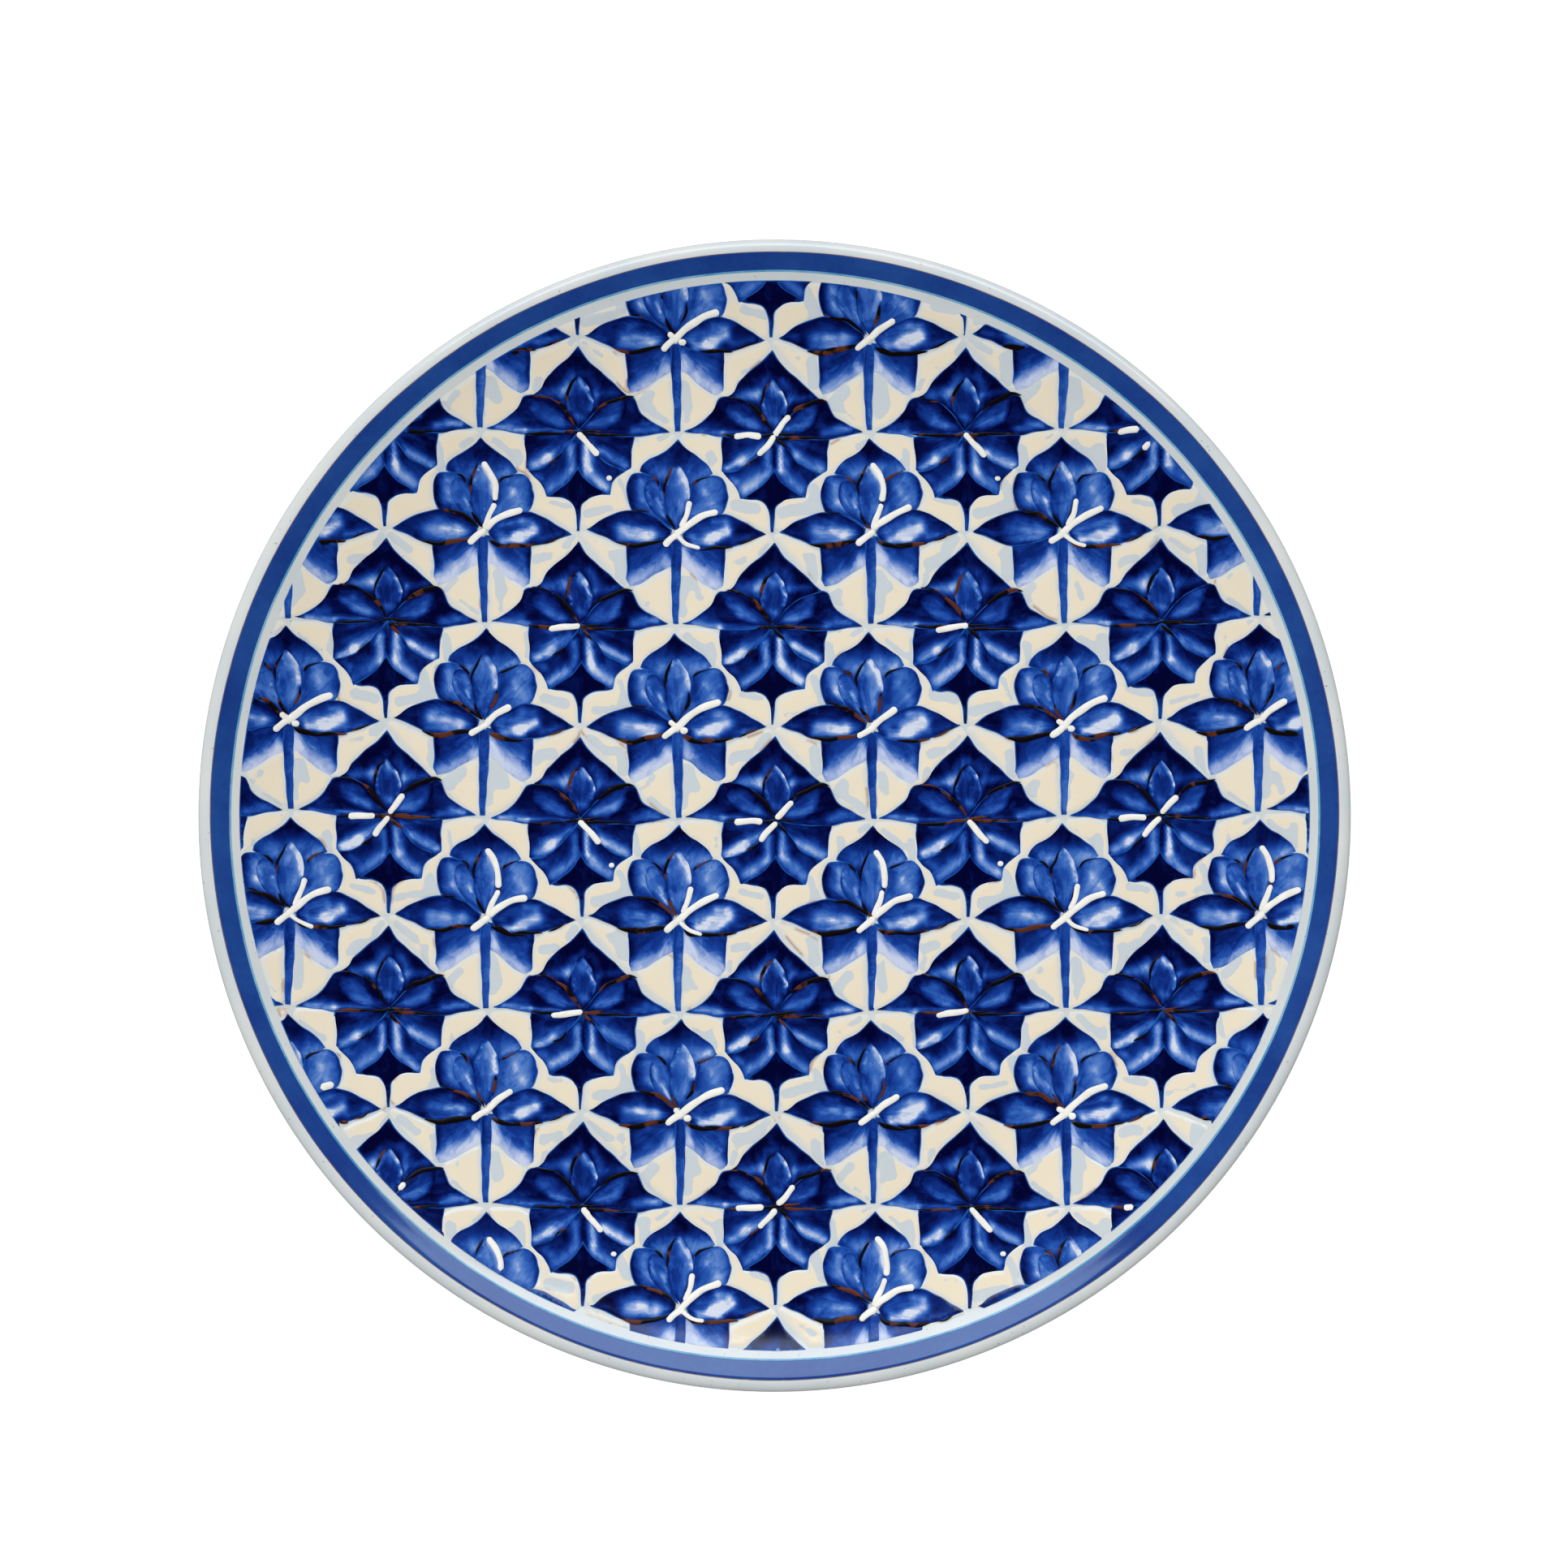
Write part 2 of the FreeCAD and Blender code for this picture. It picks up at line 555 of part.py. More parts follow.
def make_painted_patches():
    """Cobalt paint and cream enamel, each node a group over all the flowers."""
    base = size("glaze_coat")
    paint = (base, base + size("paint_coat"))
    enamel = (base, base + size("enamel_coat"))
    layers = {span: dished_layer(*span) for span in (paint, enamel)}
    nodes = []
    for patches, places in ((lily_patches(), LILY_PLACES), (star_patches(), STAR_PLACES)):
        for label, faces in trimmed(patches).items():
            span = enamel if label.endswith("enamel") else paint
            solids = []
            for place, _ in places:
                for face in faces:
                    solids += lay(face.translated(place), *span, layers[span])
            nodes.append(node_of(label, solids))
    return nodes


def make_strokes():
    """White trails, white dots and brown lines, standing on the cobalt."""
    foot = size("glaze_coat") + size("paint_coat")
    trail = (foot, foot + size("trail_coat"))
    line = (foot, foot + size("line_coat"))
    layers = {span: dished_layer(*span) for span in (trail, line)}
    groups = {"white_trails": [], "white_dots": [], "lily_lines": [], "star_lines": []}
    flowers = ((LILY_PLACES, LILY_TRAILS, LILY_DOTS, LILY_LINES, "lily_lines"),
               (STAR_PLACES, STAR_TRAILS, STAR_DOTS, STAR_LINES, "star_lines"))
    for places, trails, dots, lines, line_node in flowers:
        for place, turn in places:
            for start, end in trails[turn]:
                face = stroke(start, end, size("trail_width")).translated(place)
                groups["white_trails"] += lay(face, *trail, layers[trail])
            for centre in dots.get(turn, ()):
                face = dot(centre).translated(place)
                groups["white_dots"] += lay(face, *trail, layers[trail])
            for start, end in lines:
                face = stroke(start, end, size("line_width")).translated(place)
                groups[line_node] += lay(face, *line, layers[line])
    return [node_of(label, solids) for label, solids in groups.items()]


# ---------------------------------------------------------------- build, check and write

nodes = [
    make_clay_body(),
    make_foot_ring(),
    make_face_glaze(),
    make_back_glaze(),
    make_foot_well_glaze(),
    make_rim_ring("rim_band", "band_inner", "band_outer"),
    make_rim_ring("pale_line", "pale_line_inner", "band_inner"),
    make_rim_ring("rim_hairline", "band_outer", "hairline_outer"),
]
nodes += make_painted_patches()
nodes += make_strokes()
doc.recompute()

faults = [item.Label for item in doc.Objects
          if "Invalid" in item.State or "Error" in item.State]
faults += [node.Label for node in nodes if node.Shape.isNull() or not node.Shape.isValid()]
if faults:
    raise SystemExit("failed objects: " + ", ".join(faults))

os.makedirs("parts", exist_ok=True)
for node in nodes:
    node.Shape.exportStep(f"parts/{node.Label}.step")
    solids = len(node.Shape.Solids)
    volume = sum(solid.Volume for solid in node.Shape.Solids)
    print(f"{node.Label}: {solids} solids, {volume:.0f} cubic mm")
box = Part.makeCompound([node.Shape for node in nodes]).BoundBox
print(f"plate {box.XLength:.2f} x {box.YLength:.2f} x {box.ZLength:.2f} mm")
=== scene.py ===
# %% [markdown]
# # A hand painted ceramic plate
# The plate is one turned disc of clay under a white glaze, with a blue band at its rim and an
# all-over pattern of two flowers painted inside it. This lesson builds it in the order in which a
# workshop makes it: clay, glaze, band, cobalt flowers, cream enamel, white trails, brown lines.
# The CAD model is the fixed frame. The plate's radius, glazed floor height, rim top and foot ring
# are read from it.

# %% Load the frame and measure it
import math
import random

import bpy
import numpy as np
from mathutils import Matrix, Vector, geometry


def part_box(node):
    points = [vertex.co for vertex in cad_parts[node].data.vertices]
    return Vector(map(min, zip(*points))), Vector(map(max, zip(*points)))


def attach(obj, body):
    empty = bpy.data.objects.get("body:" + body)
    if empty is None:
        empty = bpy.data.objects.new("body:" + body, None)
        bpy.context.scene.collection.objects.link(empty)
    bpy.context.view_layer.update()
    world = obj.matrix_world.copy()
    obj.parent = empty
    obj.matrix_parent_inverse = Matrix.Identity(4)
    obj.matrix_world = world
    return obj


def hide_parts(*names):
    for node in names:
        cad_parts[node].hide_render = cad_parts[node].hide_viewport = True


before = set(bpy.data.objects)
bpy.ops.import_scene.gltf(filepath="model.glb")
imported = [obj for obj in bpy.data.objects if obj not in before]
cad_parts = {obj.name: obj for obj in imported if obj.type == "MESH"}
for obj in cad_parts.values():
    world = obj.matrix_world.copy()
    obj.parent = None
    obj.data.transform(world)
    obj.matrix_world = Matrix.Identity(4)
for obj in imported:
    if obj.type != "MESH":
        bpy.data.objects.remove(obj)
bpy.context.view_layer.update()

MM = 0.001
random.seed(27)
PLATE_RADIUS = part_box("face_glaze")[1][0] / MM
FLOOR_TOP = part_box("star_hoods")[0][2] / MM
PATTERN_RADIUS = 125.5
print(f"plate radius {PLATE_RADIUS:.1f} mm, glazed floor {FLOOR_TOP:.2f} mm above the table")

# %% [markdown]
# ## Camera, floor and light
# The camera looks straight down from far off with a long lens, so the rings stay round. Gloss is
# the hard part: a flat glossy dish mirrors whatever is over it. So gloss sees a dark studio, which
# keeps the deep cobalt deep, and one soft box behind the plate, which the near slope of the rim
# mirrors. The even light has no mirror image. Low down it comes mostly from behind the plate.

# %% Camera
CAMERA_HEIGHT = 1.5
VIEW_WIDTH = 0.3668
AIM = (0.0022, 0.0074)
camera_data = bpy.data.cameras.new("camera")
camera_data.sensor_width = 36.0
rim_distance = CAMERA_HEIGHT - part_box("face_glaze")[1][2]
camera_data.lens = camera_data.sensor_width * rim_distance / VIEW_WIDTH
camera = bpy.data.objects.new("camera", camera_data)
camera.location = (AIM[0], AIM[1], CAMERA_HEIGHT)
bpy.context.scene.collection.objects.link(camera)
bpy.context.scene.camera = camera
bpy.context.scene.view_settings.view_transform = "Standard"
print(f"lens {camera_data.lens:.0f} mm")

# %% Helpers that make materials out of nodes
def srgb(red, green, blue):
    """A colour named by its eight-bit display values, as the linear colour a shader needs."""
    channels = [c / 255 for c in (red, green, blue)]
    linear = [c / 12.92 if c <= 0.04045 else ((c + 0.055) / 1.055) ** 2.4 for c in channels]
    return (*linear, 1.0)


class Finish:
    """A material under construction: a Principled shader and the nodes that feed it."""

    def __init__(self, name, roughness, gloss_coat=0.0):
        self.material = bpy.data.materials.new(name)
        self.material.use_nodes = True
        self.tree = self.material.node_tree
        self.shader = self.tree.nodes["Principled BSDF"]
        self.shader.inputs["Roughness"].default_value = roughness
        self.shader.inputs["Coat Weight"].default_value = gloss_coat
        self.shader.inputs["Coat Roughness"].default_value = 0.06
        self.place = self.add("ShaderNodeTexCoord").outputs["Object"]

    def add(self, kind, **settings):
        """A new node with its settings."""
        node = self.tree.nodes.new(kind)
        for key, value in settings.items():
            setattr(node, key, value)
        return node

    def feed(self, socket, source):
        """Link an output to an input, or set the input to a value."""
        if isinstance(source, bpy.types.NodeSocket):
            self.tree.links.new(source, socket)
        else:
            socket.default_value = source

    def math(self, operation, first, second=0.0, clamp=False):
        """One step of arithmetic."""
        node = self.add("ShaderNodeMath", operation=operation, use_clamp=clamp)
        self.feed(node.inputs[0], first)
        self.feed(node.inputs[1], second)
        return node.outputs[0]

    def attribute(self, name):
        """A number that the mesh carries on its points."""
        return self.add("ShaderNodeAttribute", attribute_name=name).outputs["Fac"]

    def noise(self, per_metre, detail=2.0, stretch=(1, 1, 1)):
        """Cloudy noise from 0 to 1, as fine as per_metre says."""
        mapping = self.add("ShaderNodeMapping")
        self.feed(mapping.inputs["Vector"], self.place)
        mapping.inputs["Scale"].default_value = stretch
        node = self.add("ShaderNodeTexNoise")
        self.feed(node.inputs["Vector"], mapping.outputs[0])
        node.inputs["Scale"].default_value = per_metre
        node.inputs["Detail"].default_value = detail
        return node.outputs["Fac"]

    def streaks(self, fineness):
        """Brush streaks that run outwards from a flower's centre, from 0 to 1."""
        strand = self.add("ShaderNodeCombineXYZ")
        for socket, label in zip(strand.inputs, ("turn", "reach", "seed")):
            self.feed(socket, self.attribute(label))
        node = self.add("ShaderNodeTexNoise")
        self.feed(node.inputs["Vector"], strand.outputs[0])
        node.inputs["Scale"].default_value = fineness
        node.inputs["Detail"].default_value = 2.0
        return node.outputs["Fac"]

    def spread(self, value, low, high, to_low=0.0, to_high=1.0):
        """Stretch a range of values onto another."""
        node = self.add("ShaderNodeMapRange", interpolation_type="SMOOTHSTEP")
        for socket, number in zip(node.inputs, (value, low, high, to_low, to_high)):
            self.feed(socket, number)
        return node.outputs[0]

    def ramp(self, value, stops):
        """Colours laid along 0 to 1."""
        node = self.add("ShaderNodeValToRGB")
        band = node.color_ramp
        while len(band.elements) < len(stops):
            band.elements.new(0.5)
        for element, (position, colour) in zip(band.elements, stops):
            element.position = position
            element.color = colour
        self.feed(node.inputs[0], value)
        return node.outputs["Color"]

    def mix(self, amount, first, second):
        """One colour over another."""
        node = self.add("ShaderNodeMix", data_type="RGBA")
        self.feed(node.inputs[0], amount)
        self.feed(node.inputs[6], first)
        self.feed(node.inputs[7], second)
        return node.outputs[2]

    def bump(self, height, depth_mm, strength=1.0):
        """Small relief, its depth in millimetres."""
        node = self.add("ShaderNodeBump")
        node.inputs["Strength"].default_value = strength
        node.inputs["Distance"].default_value = depth_mm * MM
        self.feed(node.inputs["Height"], height)
        self.feed(self.shader.inputs["Normal"], node.outputs[0])

    def done(self, colour):
        """Feed the colour and hand the material over."""
        self.feed(self.shader.inputs["Base Color"], colour)
        return self.material


# %% Floor and studio
def make_floor():
    """A white sheet much larger than the plate, faintly mottled and glowing like a light table."""
    finish = Finish("pale_floor", roughness=0.85)
    cloud = finish.noise(9.0)
    pale = finish.ramp(cloud, [(0.3, srgb(249, 249, 249)), (0.7, srgb(254, 254, 254))])
    finish.feed(finish.shader.inputs["Emission Color"], pale)
    finish.shader.inputs["Emission Strength"].default_value = 0.5
    mesh = bpy.data.meshes.new("floor")
    half = 2.5
    corners = [(-half, -half, 0), (half, -half, 0), (half, half, 0), (-half, half, 0)]
    mesh.from_pydata(corners, [], [(0, 1, 2, 3)])
    mesh.materials.append(finish.done(pale))
    floor = bpy.data.objects.new("floor", mesh)
    bpy.context.scene.collection.objects.link(floor)
    floor.visible_diffuse = False
    floor.visible_glossy = False


def make_studio():
    """Even light from every side, which gloss doesn't mirror, and one soft box, which it does."""
    world = bpy.data.worlds.new("studio")
    world.use_nodes = True
    tree = world.node_tree

    def node(kind, operation, *sources):
        """A new node, each of its inputs linked, set to a number, or left alone for None."""
        made = tree.nodes.new("ShaderNode" + kind)
        if operation:
            made.operation = operation
        for socket, source in zip(made.inputs, sources):
            if isinstance(source, bpy.types.NodeSocket):
                tree.links.new(source, socket)
            elif source is not None:
                socket.default_value = source
        return made.outputs

    place = node("TexCoord", None)["Generated"]
    up = node("SeparateXYZ", None, place)["Z"]
    # Low light comes mostly from behind and dims towards the table. High light is even.
    behind = node("VectorMath", "DOT_PRODUCT", place, (-0.35, 0.94, 0.0))["Value"]
    lean = node("MapRange", None, up, 0.0, 0.35, 1.6, 0.3)[0]
    side = node("Math", "MULTIPLY_ADD", behind, lean, 1.0)[0]
    side = node("Math", "MAXIMUM", side, 0.35)[0]
    above = node("MapRange", None, up, -0.05, 0.15, 0.30, 1.0)[0]
    even = node("Math", "MULTIPLY", side, above)[0]
    # Gloss sees only a faint glow near the horizon.
    low = node("MapRange", None, up, 0.1, 0.6, 0.24, 0.0)[0]
    faint = node("Math", "MULTIPLY", side, low)[0]
    glossy = node("LightPath", None)["Is Glossy Ray"]
    level = node("Mix", None, glossy, None, even, faint)[0]
    tree.links.new(level, tree.nodes["Background"].inputs["Strength"])
    tree.nodes["Background"].inputs["Color"].default_value = (1.0, 1.0, 1.0, 1.0)
    bpy.context.scene.world = world

    box = bpy.data.lights.new("soft_box", "AREA")
    box.shape = "ELLIPSE"
    box.size = 2.2
    box.size_y = 0.75
    box.energy = 13.5
    box.color = (0.66, 0.80, 1.0)
    lamp = bpy.data.objects.new("soft_box", box)
    lamp.location = (0.12, 1.15, 0.70)
    lamp.rotation_euler = (math.radians(-59), 0, 0)
    lamp.visible_diffuse = False
    bpy.context.scene.collection.objects.link(lamp)


make_floor()
make_studio()
print("floor and studio ready")

# %% [markdown]
# ## The face of the plate
# Everything painted follows the dished face, so its height at any radius is worked out once, by
# the same flat floor, arc and rounded lip as the clay. Working in plain millimetres and lifting
# each point onto the face afterwards lets the pattern be drawn flat, as a painter thinks of it.

# %% Height of the glazed face
FLOOR_RADIUS = 90.0
GLAZE = 0.4
WALL = 3.8
DISH = 75.0 - GLAZE
LIP = WALL / 2 + GLAZE
LIP_RADIUS = PLATE_RADIUS - LIP
LIP_LEAN = math.asin((LIP_RADIUS - FLOOR_RADIUS) / (DISH + LIP))
LIP_HEIGHT = FLOOR_TOP + DISH - (DISH + LIP) * math.cos(LIP_LEAN)
DISH_END = FLOOR_RADIUS + DISH * math.sin(LIP_LEAN)


def face_height(radius):
    """Height of the glazed face above the table, in millimetres, out to the lip's crest."""
    radius = np.asarray(radius, float)
    run = np.clip(radius - FLOOR_RADIUS, 0, DISH_END - FLOOR_RADIUS)
    dish = FLOOR_TOP + DISH - np.sqrt(DISH ** 2 - run ** 2)
    over = np.clip(radius - LIP_RADIUS, -LIP, LIP)
    lip = LIP_HEIGHT + np.sqrt(LIP ** 2 - over ** 2)
    return np.where(radius < DISH_END, dish, lip)


# %% [markdown]
# ## Finishes
# Fired paint is glossy, so every finish but the brown line and the bare clay has a low roughness,
# and the glaze and the rim's rings have a clear coat too. The colour comes from numbers that the
# meshes carry: tone, how pale the brushed cobalt is, and edge, the distance to the patch's own
# edge. Noise at brush scale breaks both up, so no two petals match.

# %% Cobalt, from deep to pale
COBALT = [
    (0.00, srgb(0, 2, 48)), (0.12, srgb(2, 17, 82)), (0.25, srgb(5, 36, 114)),
    (0.38, srgb(14, 56, 145)), (0.50, srgb(31, 80, 170)), (0.62, srgb(58, 106, 190)),
    (0.74, srgb(97, 136, 205)), (0.86, srgb(146, 170, 220)), (1.00, srgb(214, 222, 239)),
]
NOISE_MEAN = 0.31


def cobalt_paint(name, lilac=0.0):
    """Brushed cobalt: the laid tone, broken by clouds and by streaks that leave the centre."""
    finish = Finish(name, roughness=0.12)
    cloud = finish.noise(330.0, detail=3.0)
    streaks = finish.streaks(7.0)
    fine = finish.streaks(19.0)
    puddle = finish.spread(finish.noise(210.0, detail=4.0), 0.49, 0.53)
    stroke = finish.spread(finish.streaks(4.6), 0.50, 0.54)
    tone = finish.math("ADD", finish.attribute("tone"), -NOISE_MEAN)
    for source, amount in ((cloud, 0.18), (streaks, 0.20), (fine, 0.10), (puddle, 0.07),
                           (stroke, 0.07)):
        tone = finish.math("ADD", tone, finish.math("MULTIPLY", source, amount))
    tone = finish.math("MAXIMUM", tone, 0.0)
    brushed = finish.ramp(tone, COBALT)
    if lilac:
        pale = finish.spread(tone, 0.5, 0.95, 0.0, lilac)
        brushed = finish.mix(pale, brushed, srgb(188, 200, 234))
    edge = finish.attribute("edge")
    bleed = finish.spread(edge, 0.12, 0.36, 0.95, 0.0)
    patchy = finish.spread(finish.noise(230.0), 0.36, 0.56, 0.25, 1.0)
    deep = finish.spread(tone, 0.45, 0.75, 1.0, 0.0)
    bleed = finish.math("MULTIPLY", finish.math("MULTIPLY", bleed, patchy), deep)
    colour = finish.mix(bleed, brushed, srgb(20, 86, 176))
    finish.bump(fine, 0.012, 0.3)
    return finish.done(colour)


# %% Cream enamel, white enamel and brown oxide
def cream_enamel():
    """Raised enamel: off-white at its rim, cream inside, grey blue where it lies thin."""
    finish = Finish("cream_enamel", roughness=0.16)
    cloud = finish.noise(330.0, detail=3.0)
    edge = finish.attribute("edge")
    wavering = finish.math("ADD", edge, finish.math("MULTIPLY", cloud, 1.2))
    inside = finish.spread(wavering, 1.45, 2.0)
    body = finish.mix(inside, srgb(226, 226, 218), srgb(238, 226, 202))
    thin = finish.math("ADD", finish.attribute("tone"), finish.math("MULTIPLY", cloud, 0.5))
    colour = finish.mix(finish.spread(thin, 0.74, 0.80), body, srgb(203, 212, 217))
    stain = finish.spread(finish.noise(95.0, detail=5.0), 0.61, 0.67, 0.0, 0.7)
    near_edge = finish.spread(edge, 0.4, 1.1, 1.0, 0.0)
    colour = finish.mix(finish.math("MULTIPLY", stain, near_edge), colour, srgb(186, 140, 92))
    lumps = finish.math("ADD", finish.noise(160.0), finish.math("MULTIPLY", cloud, 0.3))
    finish.bump(lumps, 0.35, 0.6)
    return finish.done(colour)


def white_enamel():
    """Thick white enamel squeezed from a trailer."""
    finish = Finish("white_enamel", roughness=0.2)
    cloud = finish.noise(500.0)
    finish.bump(cloud, 0.03, 0.3)
    return finish.done(finish.ramp(cloud, [(0.3, srgb(240, 239, 230)), (0.7, srgb(252, 251, 245))]))


def brown_oxide(name, deep=srgb(12, 3, 6), rusty=srgb(92, 42, 18)):
    """Iron and manganese line: nearly black, with rust where the brush ran dry."""
    finish = Finish(name, roughness=0.4)
    finish.shader.inputs["Specular IOR Level"].default_value = 0.2
    rust = finish.spread(finish.noise(190.0, detail=4.0), 0.53, 0.60)
    return finish.done(finish.mix(rust, deep, rusty))


# %% White glaze, bare clay and the rim's rings
def white_glaze():
    """Opaque white glaze with a faint cool cloud, soft waves and a few pinholes."""
    finish = Finish("white_glaze", roughness=0.12, gloss_coat=0.4)
    cloud = finish.noise(60.0, detail=3.0)
    pale = finish.ramp(cloud, [(0.35, srgb(208, 216, 219)), (0.65, srgb(218, 222, 221))])
    specks = finish.spread(finish.noise(1500.0, detail=0.0), 0.82, 0.85)
    finish.bump(finish.noise(45.0), 0.25, 0.25)
    return finish.done(finish.mix(specks, pale, srgb(176, 172, 164)))


def bare_clay():
    """Dry buff clay with grit; the fine turning lines on the foot's tread are in its turned
    outline.
    """
    finish = Finish("bare_clay", roughness=0.85)
    grit = finish.noise(900.0, detail=4.0)
    colour = finish.ramp(grit, [(0.3, srgb(176, 148, 118)), (0.7, srgb(206, 182, 150))])
    finish.bump(grit, 0.12, 0.6)
    return finish.done(colour)


def brushed_ring(name, deep, pale, spread):
    """Colour brushed round on the wheel, shown as a faint mottle of coarse and fine noise."""
    finish = Finish(name, roughness=0.14, gloss_coat=0.4)
    cloud = finish.noise(55.0, detail=3.0)
    fine = finish.noise(700.0)
    mottled = finish.math("ADD", cloud, finish.math("MULTIPLY", fine, 0.25))
    colour = finish.ramp(mottled, [(0.62 - spread, deep), (0.62 + spread, pale)])
    finish.bump(fine, 0.02, 0.3)
    return finish.done(colour)


FINISHES = {
    "cobalt_deep": cobalt_paint("cobalt_deep"),
    "cobalt_wash": cobalt_paint("cobalt_wash"),
    "lavender_wash": cobalt_paint("lavender_wash", lilac=0.5),
    "cream_enamel": cream_enamel(),
    "white_enamel": white_enamel(),
    "brown_line": brown_oxide("brown_line"),
    "white_glaze": white_glaze(),
    "bare_clay": bare_clay(),
    "band_blue": brushed_ring("band_blue", srgb(18, 58, 138), srgb(30, 76, 152), 0.16),
    "pale_blue": brushed_ring("pale_blue", srgb(70, 150, 200), srgb(130, 185, 215), 0.12),
}
print("finishes:", ", ".join(FINISHES))

# %% [markdown]
# ## Turned pieces
# A lathe piece is a closed outline swept round the axis, which is how the wheel makes it. The
# plate's glaze, back and foot are made this way, with enough steps round for a clean silhouette.

# %% Lathe
STEPS_ROUND = 288
SHARP = math.radians(50)


def add_piece(name, mesh, node_names, slot):
    """Put a mesh in the scene as a piece that stands for CAD nodes."""
    mesh.materials.append(FINISHES[slot])
    piece = bpy.data.objects.new(name, mesh)
    bpy.context.scene.collection.objects.link(piece)
    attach(piece, "root")
    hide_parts(*node_names)
    return piece


def turn_outline(name, outline, node_names, slot):
    """Sweep a closed outline of (radius, height) points round the axis."""
    outline = np.array(outline, float)
    turns = np.linspace(0, 2 * math.pi, STEPS_ROUND, endpoint=False)
    radius, height = outline[:, :1], outline[:, 1:]
    points = np.stack([radius * np.cos(turns), radius * np.sin(turns), height + 0 * turns], axis=2)
    count = len(outline)
    on_axis = [k for k in range(count) if outline[k, 0] == 0]
    vertices = [tuple(p) for p in points.reshape(-1, 3) * MM]
    index = np.arange(count * STEPS_ROUND).reshape(count, STEPS_ROUND)
    for k in on_axis:
        index[k, :] = index[k, 0]
    faces = []
    for k in range(count):
        after = (k + 1) % count
        if k in on_axis and after in on_axis:
            continue
        for j in range(STEPS_ROUND):
            here = (j + 1) % STEPS_ROUND
            ring = [index[k, j], index[after, j], index[after, here], index[k, here]]
            faces.append([int(v) for v in dict.fromkeys(ring)])
    used = sorted({v for face in faces for v in face})
    renumber = {old: new for new, old in enumerate(used)}
    area = np.sum(outline[:, 0] * np.roll(outline[:, 1], -1)
                  - np.roll(outline[:, 0], -1) * outline[:, 1])
    facing = -1 if area > 0 else 1
    mesh = bpy.data.meshes.new(name)
    mesh.from_pydata([vertices[v] for v in used], [],
                     [[renumber[v] for v in face[::facing]] for face in faces])
    mesh.shade_smooth()
    add_piece(name, mesh, node_names, slot)


def arc_points(centre, radius, first, last, steps):
    """Points of an arc between two turns, in radians."""
    turns = np.linspace(first, last, steps)
    return [(centre[0] + radius * math.cos(t), centre[1] + radius * math.sin(t)) for t in turns]


# %% Glaze, back and foot
FOOT_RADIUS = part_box("foot_ring")[1][0] / MM
FOOT_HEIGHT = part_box("foot_ring")[1][2] / MM
FOOT_WIDTH = 8.0
DOWN = -math.pi / 2
DISH_CENTRE = (FLOOR_RADIUS, FLOOR_TOP + DISH)
LIP_CENTRE = (LIP_RADIUS, LIP_HEIGHT)
BACK = DISH + GLAZE + WALL
floor_steps = [(r, FLOOR_TOP) for r in np.linspace(0, FLOOR_RADIUS, 13)[:-1]]
face_outline = (
    floor_steps
    + arc_points(DISH_CENTRE, DISH, DOWN, DOWN + LIP_LEAN, 20)
    + arc_points(LIP_CENTRE, LIP, math.pi / 2 + LIP_LEAN, 0, 14)[1:]
    + arc_points(LIP_CENTRE, LIP - GLAZE, 0, math.pi / 2 + LIP_LEAN, 8)
    + arc_points(DISH_CENTRE, DISH + GLAZE, DOWN + LIP_LEAN, DOWN, 8)[1:]
    + [(0, FLOOR_TOP - GLAZE)])
turn_outline("face_glaze_coat", face_outline, ["face_glaze"], "white_glaze")

back_outline = (
    [(FOOT_RADIUS + GLAZE, FOOT_HEIGHT), (FOOT_RADIUS + GLAZE + 0.1, FOOT_HEIGHT - 0.3)]
    + [(FOOT_RADIUS + 1.0, FOOT_HEIGHT - GLAZE)]
    + arc_points(DISH_CENTRE, BACK + GLAZE, DOWN, DOWN + LIP_LEAN, 24)
    + arc_points(LIP_CENTRE, LIP, DOWN + LIP_LEAN, 0, 12)[1:]
    + arc_points(LIP_CENTRE, LIP - GLAZE, 0, DOWN + LIP_LEAN, 8)
    + arc_points(DISH_CENTRE, BACK, DOWN + LIP_LEAN, DOWN, 12)[1:])
turn_outline("back_glaze_coat", back_outline, ["back_glaze"], "white_glaze")

well_radius = FOOT_RADIUS - FOOT_WIDTH - GLAZE
well_outline = (
    [(0, FOOT_HEIGHT)] + [(r, FOOT_HEIGHT) for r in np.linspace(10, well_radius, 7)]
    + [(well_radius - 0.1, FOOT_HEIGHT - 0.28), (well_radius - 0.5, FOOT_HEIGHT - GLAZE)]
    + [(r, FOOT_HEIGHT - GLAZE) for r in np.linspace(well_radius - 8, 0, 7)])
turn_outline("foot_well_coat", well_outline, ["foot_well_glaze"], "white_glaze")

TREAD_INNER, TREAD_OUTER = FOOT_RADIUS - FOOT_WIDTH + 1.0, FOOT_RADIUS - 1.0
tread_steps = np.linspace(TREAD_INNER + 1.2, TREAD_OUTER - 1.2, 7)
foot_outline = (
    [(FOOT_RADIUS - FOOT_WIDTH, FOOT_HEIGHT)]
    + [(TREAD_INNER - 0.75, 2.6), (TREAD_INNER - 0.5, 1.3)]
    + arc_points((TREAD_INNER + 0.6, 0.8), 0.8, math.pi, 1.5 * math.pi, 6)
    + [(r, 0.05 * (k % 2)) for k, r in enumerate(tread_steps)]
    + arc_points((TREAD_OUTER - 0.6, 0.8), 0.8, -math.pi / 2, 0, 6)
    + [(TREAD_OUTER + 0.5, 1.5), (TREAD_OUTER + 0.8, 2.8), (FOOT_RADIUS, FOOT_HEIGHT)])
turn_outline("turned_foot", foot_outline, ["foot_ring"], "bare_clay")
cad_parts["clay_body"].material_slots[0].material = FINISHES["bare_clay"]
print("turned: face, back, foot well and foot ring")

# %% [markdown]
# ## Rings on the rim
# The band is brushed on while the plate turns, so its colour runs round and its edges wander a
# little. A thin strip that follows the dish is enough, with a paler line where the cobalt bled
# inwards and a faint brown hairline that closes it outside. Both follow the band's own wandering.

